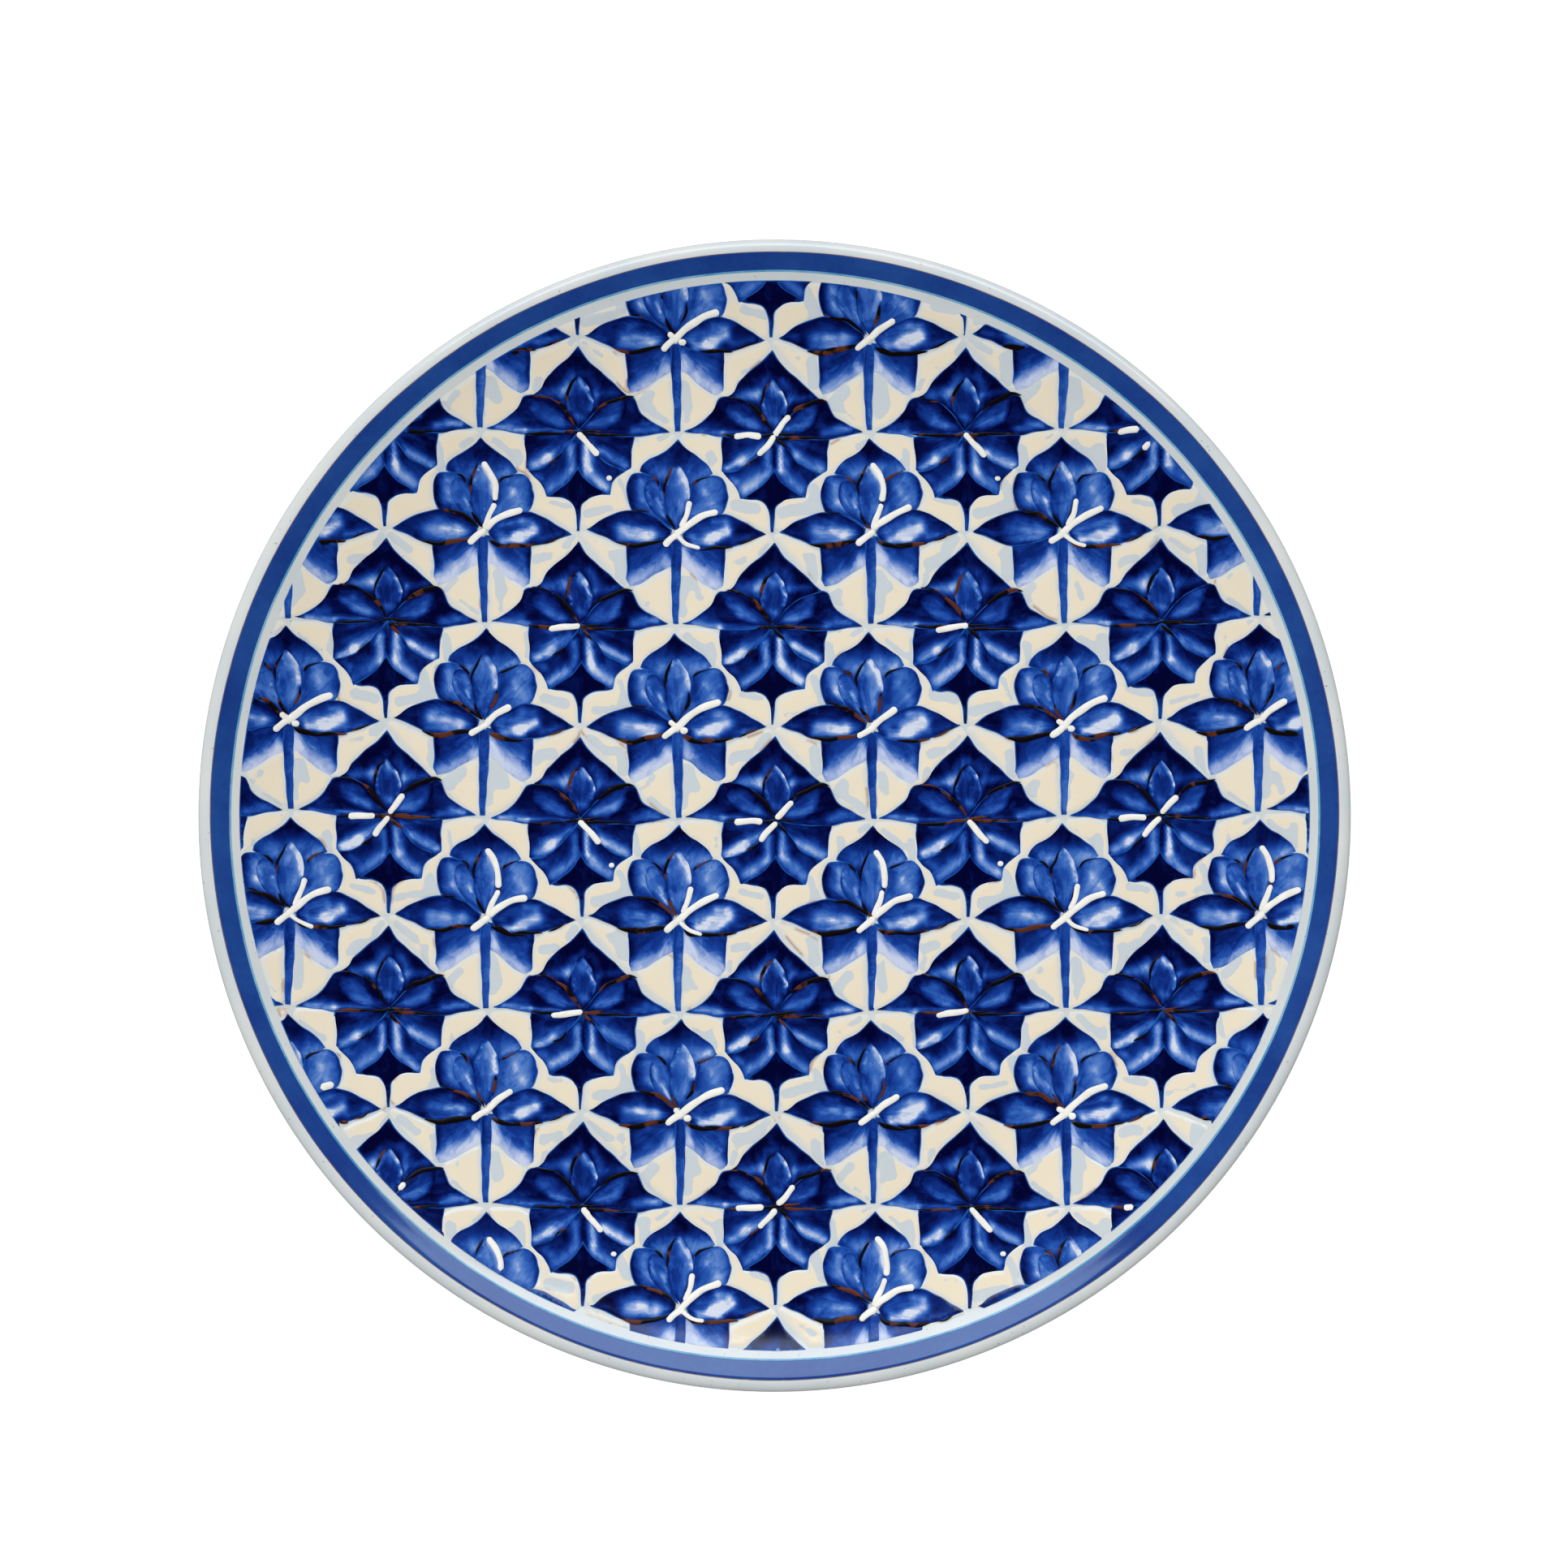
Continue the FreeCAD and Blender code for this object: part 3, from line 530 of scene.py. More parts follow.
# %% Painted rings
BAND_INNER, BAND_OUTER = 127.8, 131.9
RING_WANDER = 0.12


def wander(turns, key):
    """A slow wavering, as of a brush held against a turning rim."""
    return RING_WANDER * (0.6 * np.sin(3 * turns + key) + 0.4 * np.sin(8 * turns + 2.3 * key)
                          + 0.25 * np.sin(19 * turns + 5 * key))


def paint_ring(name, inner, outer, lift, node, slot, keys):
    """A closed strip of paint from one radius to another, lying on the dish."""
    turns = np.linspace(0, 2 * math.pi, 2 * STEPS_ROUND, endpoint=False)
    low = inner + wander(turns, keys[0])
    high = outer + wander(turns, keys[1])
    across = 0.5 - 0.5 * np.cos(np.linspace(0, math.pi, 9))
    rows = []
    for share in across:
        radius = low + (high - low) * share
        crown = lift * (1 - (2 * share - 1) ** 12)
        rows.append((radius, face_height(radius) + crown + 0.01))
    for share in across[::-1]:
        radius = low + (high - low) * share
        rows.append((radius, face_height(radius) - 0.1))
    points = np.array([np.stack([r * np.cos(turns), r * np.sin(turns), z], axis=1)
                       for r, z in rows])
    index = np.arange(points[..., 0].size).reshape(len(rows), len(turns))
    after = np.roll(index, -1, axis=0)
    beside, beyond = np.roll(index, -1, axis=1), np.roll(after, -1, axis=1)
    faces = np.stack([index, after, beyond, beside], axis=-1).reshape(-1, 4)
    mesh = bpy.data.meshes.new(name)
    mesh.from_pydata((points.reshape(-1, 3) * MM).tolist(), [], faces.tolist())
    mesh.shade_smooth()
    mesh.set_sharp_from_angle(angle=SHARP)
    return add_piece(name, mesh, [node], slot)


paint_ring("blue_rim_band", BAND_INNER, BAND_OUTER, 0.08, "rim_band", "band_blue",
           (BAND_INNER, BAND_OUTER))
paint_ring("pale_bleed_line", BAND_INNER - 0.36, BAND_INNER + 0.10, 0.05, "pale_line", "pale_blue",
           (BAND_INNER, BAND_INNER))
hairline = paint_ring("brown_rim_hairline", BAND_OUTER - 0.04, BAND_OUTER + 0.16, 0.03,
                      "rim_hairline", "brown_line", (BAND_OUTER, BAND_OUTER))
hairline.data.materials[0] = brown_oxide("brown_hairline", srgb(112, 90, 106), srgb(146, 108, 92))
print("rings painted")

# %% [markdown]
# ## Drawing a patch
# Each petal, leaf and pad is a closed outline of a few points, smoothed between its corners and
# filled with a fine net of triangles. Every point then learns two numbers: its distance to the
# patch's edge, which rounds the paint down at the edge, and its tone, which is laid on with soft
# strokes the way a brush lays light over dark. Cobalt also learns which way the brush ran. The
# thick enamel gets real edges this way, and they catch the light.

# %% Outlines
OUTLINE_STEP = 0.45
NET_STEP = 0.75


def smooth_through(points):
    """Points close together on a curve through the given ones, without the first."""
    points = np.array(points, float)
    if len(points) == 2:
        steps = max(2, int(np.linalg.norm(points[1] - points[0]) / OUTLINE_STEP))
        shares = np.linspace(0, 1, steps + 1)[1:, None]
        return points[0] + (points[1] - points[0]) * shares
    padded = np.vstack([2 * points[0] - points[1], points, 2 * points[-1] - points[-2]])
    curve = []
    for k in range(1, len(padded) - 2):
        before, start, end, after = padded[k - 1:k + 3]
        spans = [math.sqrt(max(1e-6, np.linalg.norm(b - a)))
                 for a, b in ((before, start), (start, end), (end, after))]
        knots = np.cumsum([0.0] + spans)
        steps = max(2, int(np.linalg.norm(end - start) / OUTLINE_STEP))
        for t in np.linspace(knots[1], knots[2], steps + 1)[1:]:
            def blend(a, b, low, high):
                return a * ((high - t) / (high - low)) + b * ((t - low) / (high - low))
            first = blend(before, start, knots[0], knots[1])
            second = blend(start, end, knots[1], knots[2])
            third = blend(end, after, knots[2], knots[3])
            left = blend(first, second, knots[0], knots[2])
            right = blend(second, third, knots[1], knots[3])
            curve.append(blend(left, right, knots[1], knots[2]))
    return np.array(curve)


def outline_loop(runs):
    """A closed loop from runs that meet at corners; the last run returns to the start."""
    loop = [np.array([runs[0][0]], float)]
    last = runs[0][0]
    for number, run in enumerate(runs):
        points = list(run) if number == 0 else [last] + list(run)
        if number == len(runs) - 1:
            points.append(runs[0][0])
        loop.append(smooth_through(points))
        last = run[-1]
    return np.vstack(loop)[:-1]


def grow(loop, margin):
    """Push a loop outwards, so that a pad runs in under the paint beside it."""
    before, after = np.roll(loop, 1, axis=0), np.roll(loop, -1, axis=0)
    along = after - before
    along /= np.maximum(1e-9, np.linalg.norm(along, axis=1))[:, None]
    outward = np.stack([along[:, 1], -along[:, 0]], axis=1)
    area = np.sum(loop[:, 0] * after[:, 1] - after[:, 0] * loop[:, 1])
    return loop + outward * margin * (1 if area > 0 else -1)


def distance_to_lines(points, starts, ends):
    """Shortest distance from each point to a set of segments."""
    span = ends - starts
    length = np.maximum(1e-9, np.sum(span ** 2, axis=1))
    offset = points[:, None, :] - starts[None]
    share = np.clip(np.sum(offset * span[None], axis=2) / length[None], 0, 1)
    nearest = starts[None] + share[..., None] * span[None]
    return np.sqrt(np.min(np.sum((points[:, None, :] - nearest) ** 2, axis=2), axis=1))


def inside(points, loop):
    """Which points lie inside a loop."""
    start, end = loop, np.roll(loop, -1, axis=0)
    x, y = points[:, 0][:, None], points[:, 1][:, None]
    crosses = (start[None, :, 1] > y) != (end[None, :, 1] > y)
    rise = np.where(end[:, 1] == start[:, 1], 1e-9, end[:, 1] - start[:, 1])
    at = start[None, :, 0] + (y - start[None, :, 1]) / rise[None] * (end - start)[None, :, 0]
    return np.sum(crosses & (x < at), axis=1) % 2 == 1


def fill(loop, insets):
    """A net of triangles inside a loop, with rows of points that follow its edge."""
    low, high = loop.min(axis=0), loop.max(axis=0)
    rows = np.arange(low[1], high[1], NET_STEP * 0.87)
    grid = [(x + (k % 2) * NET_STEP / 2, y) for k, y in enumerate(rows)
            for x in np.arange(low[0], high[0], NET_STEP)]
    grid = np.array(grid)
    ends = np.roll(loop, -1, axis=0)
    grid = grid[inside(grid, loop)]
    if len(grid):
        grid = grid[distance_to_lines(grid, loop, ends) > insets[-1] + 0.38]
    rows = [loop]
    for inset in insets:
        row = grow(loop, -inset)
        rows.append(row[inside(row, loop) & (distance_to_lines(row, loop, ends) > 0.93 * inset)])
    points = np.vstack(rows + [grid]) if len(grid) else np.vstack(rows)
    result = geometry.delaunay_2d_cdt([tuple(p) for p in points], [],
                                      [list(range(len(loop)))], 1, 1e-5)
    net = np.array([tuple(v) for v in result[0]])
    faces = np.array(result[2])
    corners = net[faces]
    right, up = corners[:, 1] - corners[:, 0], corners[:, 2] - corners[:, 0]
    turn = right[:, 0] * up[:, 1] - right[:, 1] * up[:, 0]
    faces[turn < 0] = faces[turn < 0][:, ::-1]
    faces = faces[np.abs(turn) > 1e-6]
    return net, faces, distance_to_lines(net, loop, ends)


# %% Places of the flowers
PITCH = 45.6
STAR_DOWN = 1.0
LILY_UP = 21.6


def hand_drift(points):
    """How a free hand strays from a ruled grid: a slight bow and lean, and small wavers."""
    x, y = points[:, 0], points[:, 1]
    bow = 1.2 * (x / 91) ** 2
    across = (-0.005 * y + 0.20 * np.sin(0.045 * x + 0.080 * y + 1.0)
              + 0.14 * np.sin(0.21 * y + 0.05 * x + 2.0) + 0.06 * np.sin(1.1 * y + 0.7 * x))
    upward = (bow + 0.20 * np.sin(0.050 * y - 0.070 * x + 0.5)
              + 0.14 * np.sin(0.19 * x + 0.06 * y + 4.0) + 0.06 * np.sin(1.2 * x - 0.6 * y))
    return points + np.stack([across, upward], axis=1)


def flower_places(first_x, first_y):
    """Every place of a flower near the painted circle, and which of four painters' habits."""
    places = []
    for row in range(-4, 5):
        for column in range(-4, 5):
            place = np.array([first_x + column * PITCH, first_y + row * PITCH])
            if np.hypot(*place) < PATTERN_RADIUS + 24:
                places.append((place, (column % 2, row % 2)))
    return places


STARS = flower_places(0.0, -STAR_DOWN)
LILIES = flower_places(-PITCH / 2, LILY_UP - STAR_DOWN)
print(len(STARS), "stars and", len(LILIES), "lilies reach the painted circle")

# %% [markdown]
# ## The lily
# The lily has a pointed hood behind, a tall middle petal, a round petal each side, two long
# leaves, two skirts and a stem. Each is listed as the CAD node it stands for, how thick the paint
# lies, the tone it is laid in with, its outline about the flower's centre in millimetres, and
# the soft strokes that shade it: from here to there, how broad, and how much paler or deeper.

# %% Lily patches
LILY = [
    ("lily_hoods", 0.10, 0.20,
     [[(-3.7, 11.4), (-5.9, 13.5), (-8.5, 14.6)],
      [(-8.1, 16.0), (-6.6, 17.5), (-4.2, 18.8), (-2.4, 20.0), (-1.0, 21.2), (0, 22.4)],
      [(1.1, 21.2), (2.4, 20.1), (4.9, 18.4), (7.1, 16.6), (8.4, 14.6)],
      [(5.8, 13.3), (3.6, 11.2)], [(2.0, 4.0), (0, 1.6), (-2.0, 4.0)]],
     [(0, 21.8, 0, 19.6, 2.8, -0.18), (-4.6, 14.4, 8.0, 14.8, 2.4, 0.38),
      (3.4, 12.6, 7.0, 14.4, 0.9, 0.22), (-8.4, 15.4, -6.2, 17.4, 0.7, 0.16),
      (-4.2, 12.8, -3.4, 14.0, 0.7, 0.14)]),
    ("lily_round_petals", 0.16, 0.52,
     [[(-0.6, 1.2), (-2.0, 4.4), (-2.8, 7.2), (-3.1, 9.7), (-3.8, 11.8)],
      [(-4.8, 13.1), (-6.4, 13.9), (-8.6, 14.1), (-10.5, 13.7), (-11.4, 11.9), (-11.7, 9.7),
       (-11.4, 7.6), (-10.6, 5.6)],
      [(-8.4, 4.7), (-6.1, 4.4), (-4.2, 3.6), (-2.4, 2.2)]],
     [(-11.4, 12.6, -11.4, 6.8, 1.5, -0.42), (-10.4, 5.8, -6.0, 5.0, 0.8, -0.22),
      (-8.4, 12.2, -8.0, 8.2, 0.9, 0.20), (-8.0, 8.2, -5.8, 5.9, 0.6, 0.22),
      (-9.8, 13.4, -6.6, 13.4, 0.5, -0.16)]),
    ("lily_round_petals", 0.20, 0.56,
     [[(-1.2, 1.9), (-1.9, 3.7), (-2.8, 6.8), (-3.1, 9.1), (-3.5, 10.9), (-4.4, 12.2),
       (-5.7, 12.7), (-6.9, 12.2), (-7.4, 10.9), (-7.4, 9.5), (-6.8, 7.3), (-5.5, 5.3),
       (-3.0, 3.2)]],
     [(-7.2, 11.0, -6.2, 7.0, 0.4, 0.26), (-4.2, 8.0, -2.5, 4.2, 0.35, 0.36),
      (-5.6, 11.8, -5.0, 9.2, 0.9, -0.08), (-3.4, 9.6, -3.1, 7.4, 0.4, 0.16)]),
    ("lily_round_petals", 0.16, 0.54,
     [[(0.6, 1.0), (2.2, 5.0), (3.1, 9.1), (3.6, 11.9)],
      [(4.6, 12.9), (6.4, 13.7), (8.9, 14.1), (10.5, 13.5), (11.5, 12.0), (11.8, 10.4),
       (12.2, 9.2), (11.9, 7.5), (11.0, 5.6), (9.6, 4.6)],
      [(5.8, 3.6), (3.0, 2.2)]],
     [(6.9, 10.4, 7.0, 9.6, 0.7, 0.20), (7.6, 12.0, 7.8, 7.4, 1.7, 0.14),
      (11.7, 12.6, 11.9, 7.0, 0.9, -0.28), (4.2, 11.4, 3.8, 7.0, 0.9, -0.18),
      (8.6, 7.6, 9.4, 6.2, 1.0, 0.14)]),
    ("lily_crowns", 0.27, 0.51,
     [[(0, 16.8), (-1.3, 15.4), (-2.2, 13.4), (-2.7, 11.0), (-2.7, 8.5), (-2.3, 6.0),
       (-1.3, 3.5), (0, 1.2)],
      [(1.6, 3.8), (2.7, 6.8), (3.1, 9.2), (3.0, 11.4), (2.4, 13.5), (1.3, 15.4)]],
     [(0.5, 15.9, 2.3, 13.2, 0.6, 0.62), (2.3, 13.2, 3.1, 9.0, 0.6, 0.54),
      (1.4, 13.0, 2.2, 9.4, 1.1, 0.16),
      (-0.8, 15.6, -2.4, 11.6, 0.35, 0.30), (-1.7, 9.4, -1.5, 7.0, 0.8, -0.10),
      (0.2, 14.2, 0.0, 12.6, 0.9, 0.16), (1.4, 8.0, 1.0, 5.4, 0.7, 0.16),
      (-2.5, 8.4, -1.4, 4.0, 0.3, 0.2)]),
    ("lily_leaves", 0.19, 0.11,
     [[(-21.2, 0.6), (-19.2, 2.2), (-16.5, 3.6), (-13.3, 4.8), (-10.4, 5.3), (-7.6, 4.9),
       (-4.8, 3.7), (-3.0, 2.4), (-1.2, 1.1)],
      [(-1.7, -0.6), (-3.9, -1.4), (-6.8, -2.2), (-9.3, -2.7), (-12.0, -2.8), (-14.0, -2.4),
       (-17.0, -1.0)]],
     [(-12.4, 0.7, -6.0, -0.2, 2.0, 0.64), (-13.6, -1.8, -6.0, -1.6, 0.9, 0.26),
      (-9.6, 0.9, -8.2, 0.6, 0.7, 0.24), (-6.0, 0.6, -3.4, 0.0, 1.1, 0.26),
      (-10.8, 3.4, -8.6, 3.2, 0.9, 0.16), (-19.6, 0.6, -17.0, 0.0, 0.7, 0.18)]),
    ("lily_leaves", 0.19, 0.18,
     [[(21.0, 0.1), (18.1, 1.8), (14.9, 3.6), (12.4, 4.7), (10.1, 5.1), (7.7, 4.5), (4.9, 3.1),
       (2.7, 1.6), (1.3, 0.1)],
      [(2.2, -1.7), (3.9, -2.5), (7.1, -3.0), (11.1, -3.0), (14.9, -2.2), (18.1, -1.0)]],
     [(4.4, -1.8, 8.6, -0.9, 1.2, 0.70), (8.4, -0.7, 12.0, 1.0, 1.5, 0.95),
      (4.2, 1.2, 8.4, 2.4, 1.4, 0.30), (9.4, 3.2, 12.0, 3.0, 0.9, 0.30),
      (13.6, -1.4, 18.0, -0.4, 0.9, 0.26), (2.6, 0.2, 4.0, -0.4, 0.8, 0.2)]),
    ("lily_skirts", 0.09, 0.28,
     [[(-12.0, -2.6), (-9.3, -2.2), (-6.8, -1.8), (-4.2, -1.1), (-0.6, -0.8)],
      [(-0.6, -7.0)], [(-3.0, -8.3), (-5.5, -9.8), (-8.6, -11.8), (-10.8, -12.4)],
      [(-11.7, -10.7)], [(-11.6, -7.4)]],
     [(-11.8, -4.4, -11.5, -8.6, 1.1, -0.20), (-10.0, -12.8, -2.0, -8.4, 3.1, 0.74),
      (-2.6, -4.6, -2.4, -6.4, 1.2, 0.20), (-6.4, -5.4, -5.0, -5.0, 1.3, 0.0)]),
    ("lily_skirts", 0.09, 0.33,
     [[(0.6, -0.8), (3.9, -1.4), (7.1, -2.2), (11.5, -2.6)],
      [(11.4, -5.6), (11.2, -9.7), (10.9, -11.9)], [(9.6, -12.7), (8.3, -12.8)],
      [(5.5, -10.6), (3.0, -8.2), (0.6, -6.6)]],
     [(11.3, -4.4, 11.2, -9.6, 0.8, -0.16), (2.0, -8.2, 9.4, -12.8, 3.1, 0.68),
      (1.6, -3.2, 1.9, -6.2, 1.2, 0.40), (8.8, -6.0, 9.6, -7.6, 1.0, 0.06)]),
    ("lily_stems", 0.17, 0.47,
     [[(-1.15, -1.2), (1.15, -1.2)], [(1.05, -8.0), (0.75, -15.0), (0.5, -21.2)],
      [(-0.6, -21.2)], [(-0.95, -12.0), (-1.15, -6.0)]],
     [(-0.6, -2.0, -0.7, -8.0, 0.8, -0.12), (0.8, -8.0, 0.5, -20.0, 0.45, 0.16),
      (-0.7, -14.0, -0.5, -20.0, 0.3, 0.12)]),
]

# %% [markdown]
# ## The star
# The star has a pointed hood, a small upright petal, two side leaves that each carry a paler
# leaf inside, four broad petals below and a dark tail that ends in a thin tip. Where the lily is
# open and round, the star is deep and heavy, so most of its patches start near the dark end.

# %% Star patches
STAR = [
    ("star_hoods", 0.10, -0.03,
     [[(-11.2, 8.3), (-9.6, 10.2), (-7.6, 12.4), (-4.7, 15.1), (-1.8, 17.5), (0, 19.6)],
      [(2.0, 16.6), (4.6, 14.2), (7.4, 11.8), (9.3, 9.9), (11.2, 8.2)],
      [(7.6, 6.2), (3.6, 3.6), (0.3, 0.6)], [(-3.6, 4.4), (-7.6, 6.8)]],
     [(-8.0, 8.6, -3.6, 9.4, 1.7, 0.58), (-3.4, 9.6, -1.8, 12.4, 1.6, 0.36),
      (2.6, 12.4, 4.0, 10.0, 1.3, 0.36), (4.4, 8.4, 9.2, 9.2, 1.2, 0.38),
      (-3.4, 6.8, -3.8, 8.0, 0.9, 0.30), (3.4, 6.0, 3.8, 8.4, 0.7, 0.34),
      (0, 13.6, 0, 14.0, 1.4, 0.18)]),
    ("star_top_petals", 0.26, 0.30,
     [[(0, 13.0), (-1.4, 11.4), (-2.5, 9.2), (-3.0, 6.8), (-2.3, 4.1), (0, 0.4)],
      [(1.9, 3.0), (3.2, 5.6), (3.0, 8.4), (1.7, 11.0)]],
     [(0.3, 12.2, 2.1, 10.0, 0.55, 0.68), (2.1, 10.0, 3.1, 7.0, 0.50, 0.72),
      (3.1, 7.0, 2.7, 4.6, 0.4, 0.44), (-1.2, 11.6, -2.7, 8.4, 0.38, 0.56),
      (-2.8, 8.0, -2.4, 5.0, 0.35, 0.40),
      (-0.4, 10.8, 0.4, 9.8, 0.8, 0.24), (-0.4, 3.6, 1.2, 3.0, 0.9, 0.26)]),
    ("star_side_leaves", 0.18, 0.08,
     [[(-21.2, 0.4), (-18.4, 1.8), (-15.3, 4.2), (-13.8, 6.6), (-12.6, 8.1), (-11.1, 8.5)],
      [(-8.3, 8.2), (-5.8, 7.1), (-3.9, 5.5), (-2.0, 3.1), (-0.1, 0.2)],
      [(-4.6, -0.7), (-12.1, -0.8), (-16.8, 0.0)]],
     [(-18.8, 0.5, -12.6, -0.2, 0.9, 0.66), (-17.0, 1.8, -13.6, 1.4, 1.1, 0.22),
      (-12.0, 0.0, -3.0, -0.2, 0.7, 0.46)]),
    ("star_side_leaves", 0.23, 0.36,
     [[(-0.3, 0.3), (-2.6, 3.2), (-5.2, 5.7), (-8.2, 7.1), (-11.0, 7.3)],
      [(-11.7, 5.4), (-9.8, 2.7), (-6.6, 0.9), (-3.2, 0.2)]],
     [(-7.6, 2.6, -4.6, 1.6, 1.1, 0.24), (-9.6, 4.6, -8.0, 4.2, 1.0, 0.10),
      (-11.0, 6.2, -9.6, 6.4, 1.0, -0.14), (-4.6, 4.4, -2.6, 2.6, 0.8, -0.24),
      (-7.0, 6.0, -5.0, 4.8, 0.7, -0.14)]),
    ("star_side_leaves", 0.18, 0.06,
     [[(21.0, 0.2), (17.7, 2.0), (14.4, 4.2), (13.3, 6.5), (12.8, 7.7), (11.5, 8.2)],
      [(8.6, 7.3), (5.5, 5.8), (3.8, 4.4), (0.1, 0.2)],
      [(3.6, -0.8), (13.0, -1.2), (16.2, -0.6)]],
     [(12.6, 0.2, 18.4, 0.6, 1.1, 0.54), (15.0, 1.8, 18.0, 1.4, 0.9, 0.26),
      (10.0, 7.6, 12.0, 7.4, 0.6, 0.12), (3.0, -0.4, 12.0, -0.8, 0.6, 0.24)]),
    ("star_side_leaves", 0.23, 0.32,
     [[(0.3, 0.3), (3.0, 3.0), (5.5, 5.3), (8.4, 6.9), (10.8, 7.1)],
      [(10.9, 4.8), (9.4, 2.1), (6.6, 0.3)]],
     [(3.6, 1.4, 8.0, 2.4, 1.1, 0.26), (8.2, 3.4, 9.4, 4.8, 0.9, 0.14),
      (10.6, 6.0, 10.0, 3.2, 0.6, -0.2), (8.8, 1.8, 7.4, 0.7, 0.7, -0.14),
      (7.2, 6.4, 9.8, 6.9, 0.5, 0.12)]),
    ("star_corners", 0.14, 0.12,
     [[(0.3, 0.2), (-12.3, -0.4)], [(-12.6, -4.1), (-12.5, -9.2)],
      [(-9.4, -8.7), (-6.8, -7.4), (-3.9, -5.0)]],
     [(-10.8, -8.2, -7.4, -6.6, 1.4, 0.92), (-7.0, -5.8, -2.2, -3.0, 1.4, 0.52),
      (-8.6, -1.4, -5.4, -1.4, 0.9, 0.22), (-9.6, -5.2, -6.4, -4.0, 1.0, 0.16)]),
    ("star_corners", 0.16, 0.20,
     [[(0, -0.4), (-3.9, -5.1), (-6.8, -7.6), (-9.4, -8.9), (-12.5, -9.3)],
      [(-11.4, -10.7), (-9.5, -12.0), (-8.6, -13.6), (-8.0, -15.6)],
      [(-4.2, -13.3), (-1.7, -11.2), (0.2, -8.2)], [(0.2, -4.0)]],
     [(-1.5, -4.0, -1.4, -9.4, 1.1, 0.54), (-6.8, -13.4, -3.0, -10.8, 1.7, 0.52),
      (-4.2, -7.4, -4.4, -6.8, 0.9, -0.10), (-9.6, -10.4, -8.6, -11.0, 1.0, 0.30),
      (-0.2, -3.0, -0.1, -7.4, 0.4, -0.20)]),
    ("star_corners", 0.14, 0.10,
     [[(-0.3, 0.2), (13.1, -0.5)], [(12.8, -2.5), (12.3, -4.4), (12.5, -8.2), (11.2, -9.3)],
      [(8.6, -8.4), (5.5, -6.6), (3.2, -3.4)]],
     [(3.0, -2.8, 4.6, -4.6, 0.9, 0.34), (5.4, -5.4, 10.6, -8.1, 1.6, 0.72),
      (3.4, -1.6, 7.0, -1.6, 0.8, 0.20), (11.8, -8.4, 11.0, -8.8, 0.6, 0.2)]),
    ("star_corners", 0.16, 0.20,
     [[(0, -0.4), (3.2, -3.5), (5.5, -6.7), (8.6, -8.5), (11.2, -9.4)],
      [(9.1, -10.8), (7.8, -12.4), (7.4, -15.0)],
      [(6.0, -14.2), (3.0, -12.4), (1.1, -10.6), (-0.2, -8.2)], [(-0.2, -4.0)]],
     [(1.9, -3.2, 2.0, -8.8, 0.85, 0.68), (2.6, -10.2, 6.6, -13.4, 1.6, 0.60),
      (3.0, -6.4, 3.0, -9.0, 0.8, 0.24), (4.8, -7.2, 4.9, -8.0, 0.8, -0.10),
      (0.1, -3.0, 0.2, -7.4, 0.4, -0.20)]),
    ("star_tails", 0.12, -0.06,
     [[(0, -8.0), (-1.8, -10.8), (-4.2, -13.0), (-8.1, -15.1)],
      [(-6.4, -15.6), (-4.0, -15.6), (-2.0, -16.4), (-1.1, -18.2), (-0.5, -23.2)],
      [(0.0, -23.2)], [(0.2, -19.8), (0.7, -17.2), (2.4, -15.9), (5.2, -15.4), (7.5, -14.9)],
      [(4.2, -12.9), (1.8, -10.8)]],
     [(-0.9, -18.0, -0.3, -22.8, 0.3, 0.40), (-7.0, -15.4, -4.0, -15.6, 0.4, 0.30),
      (0.3, -17.6, 0.0, -22.0, 0.35, 0.24), (2.6, -15.6, 6.0, -15.0, 0.35, 0.30)]),
]
print(len(LILY), "lily patches and", len(STAR), "star patches")

# %% [markdown]
# ## Cream enamel in the ground
# The ground between the flowers is filled with thick cream enamel, one pad to a gap, and two
# halves of a kite each side of every lily's stem. The pads are lower at their edges and run in a
# little under the flowers, so no gap opens between them, and they stand proud in the middle.
# Their strokes say where the enamel is thin and the grey-blue ground shows through.

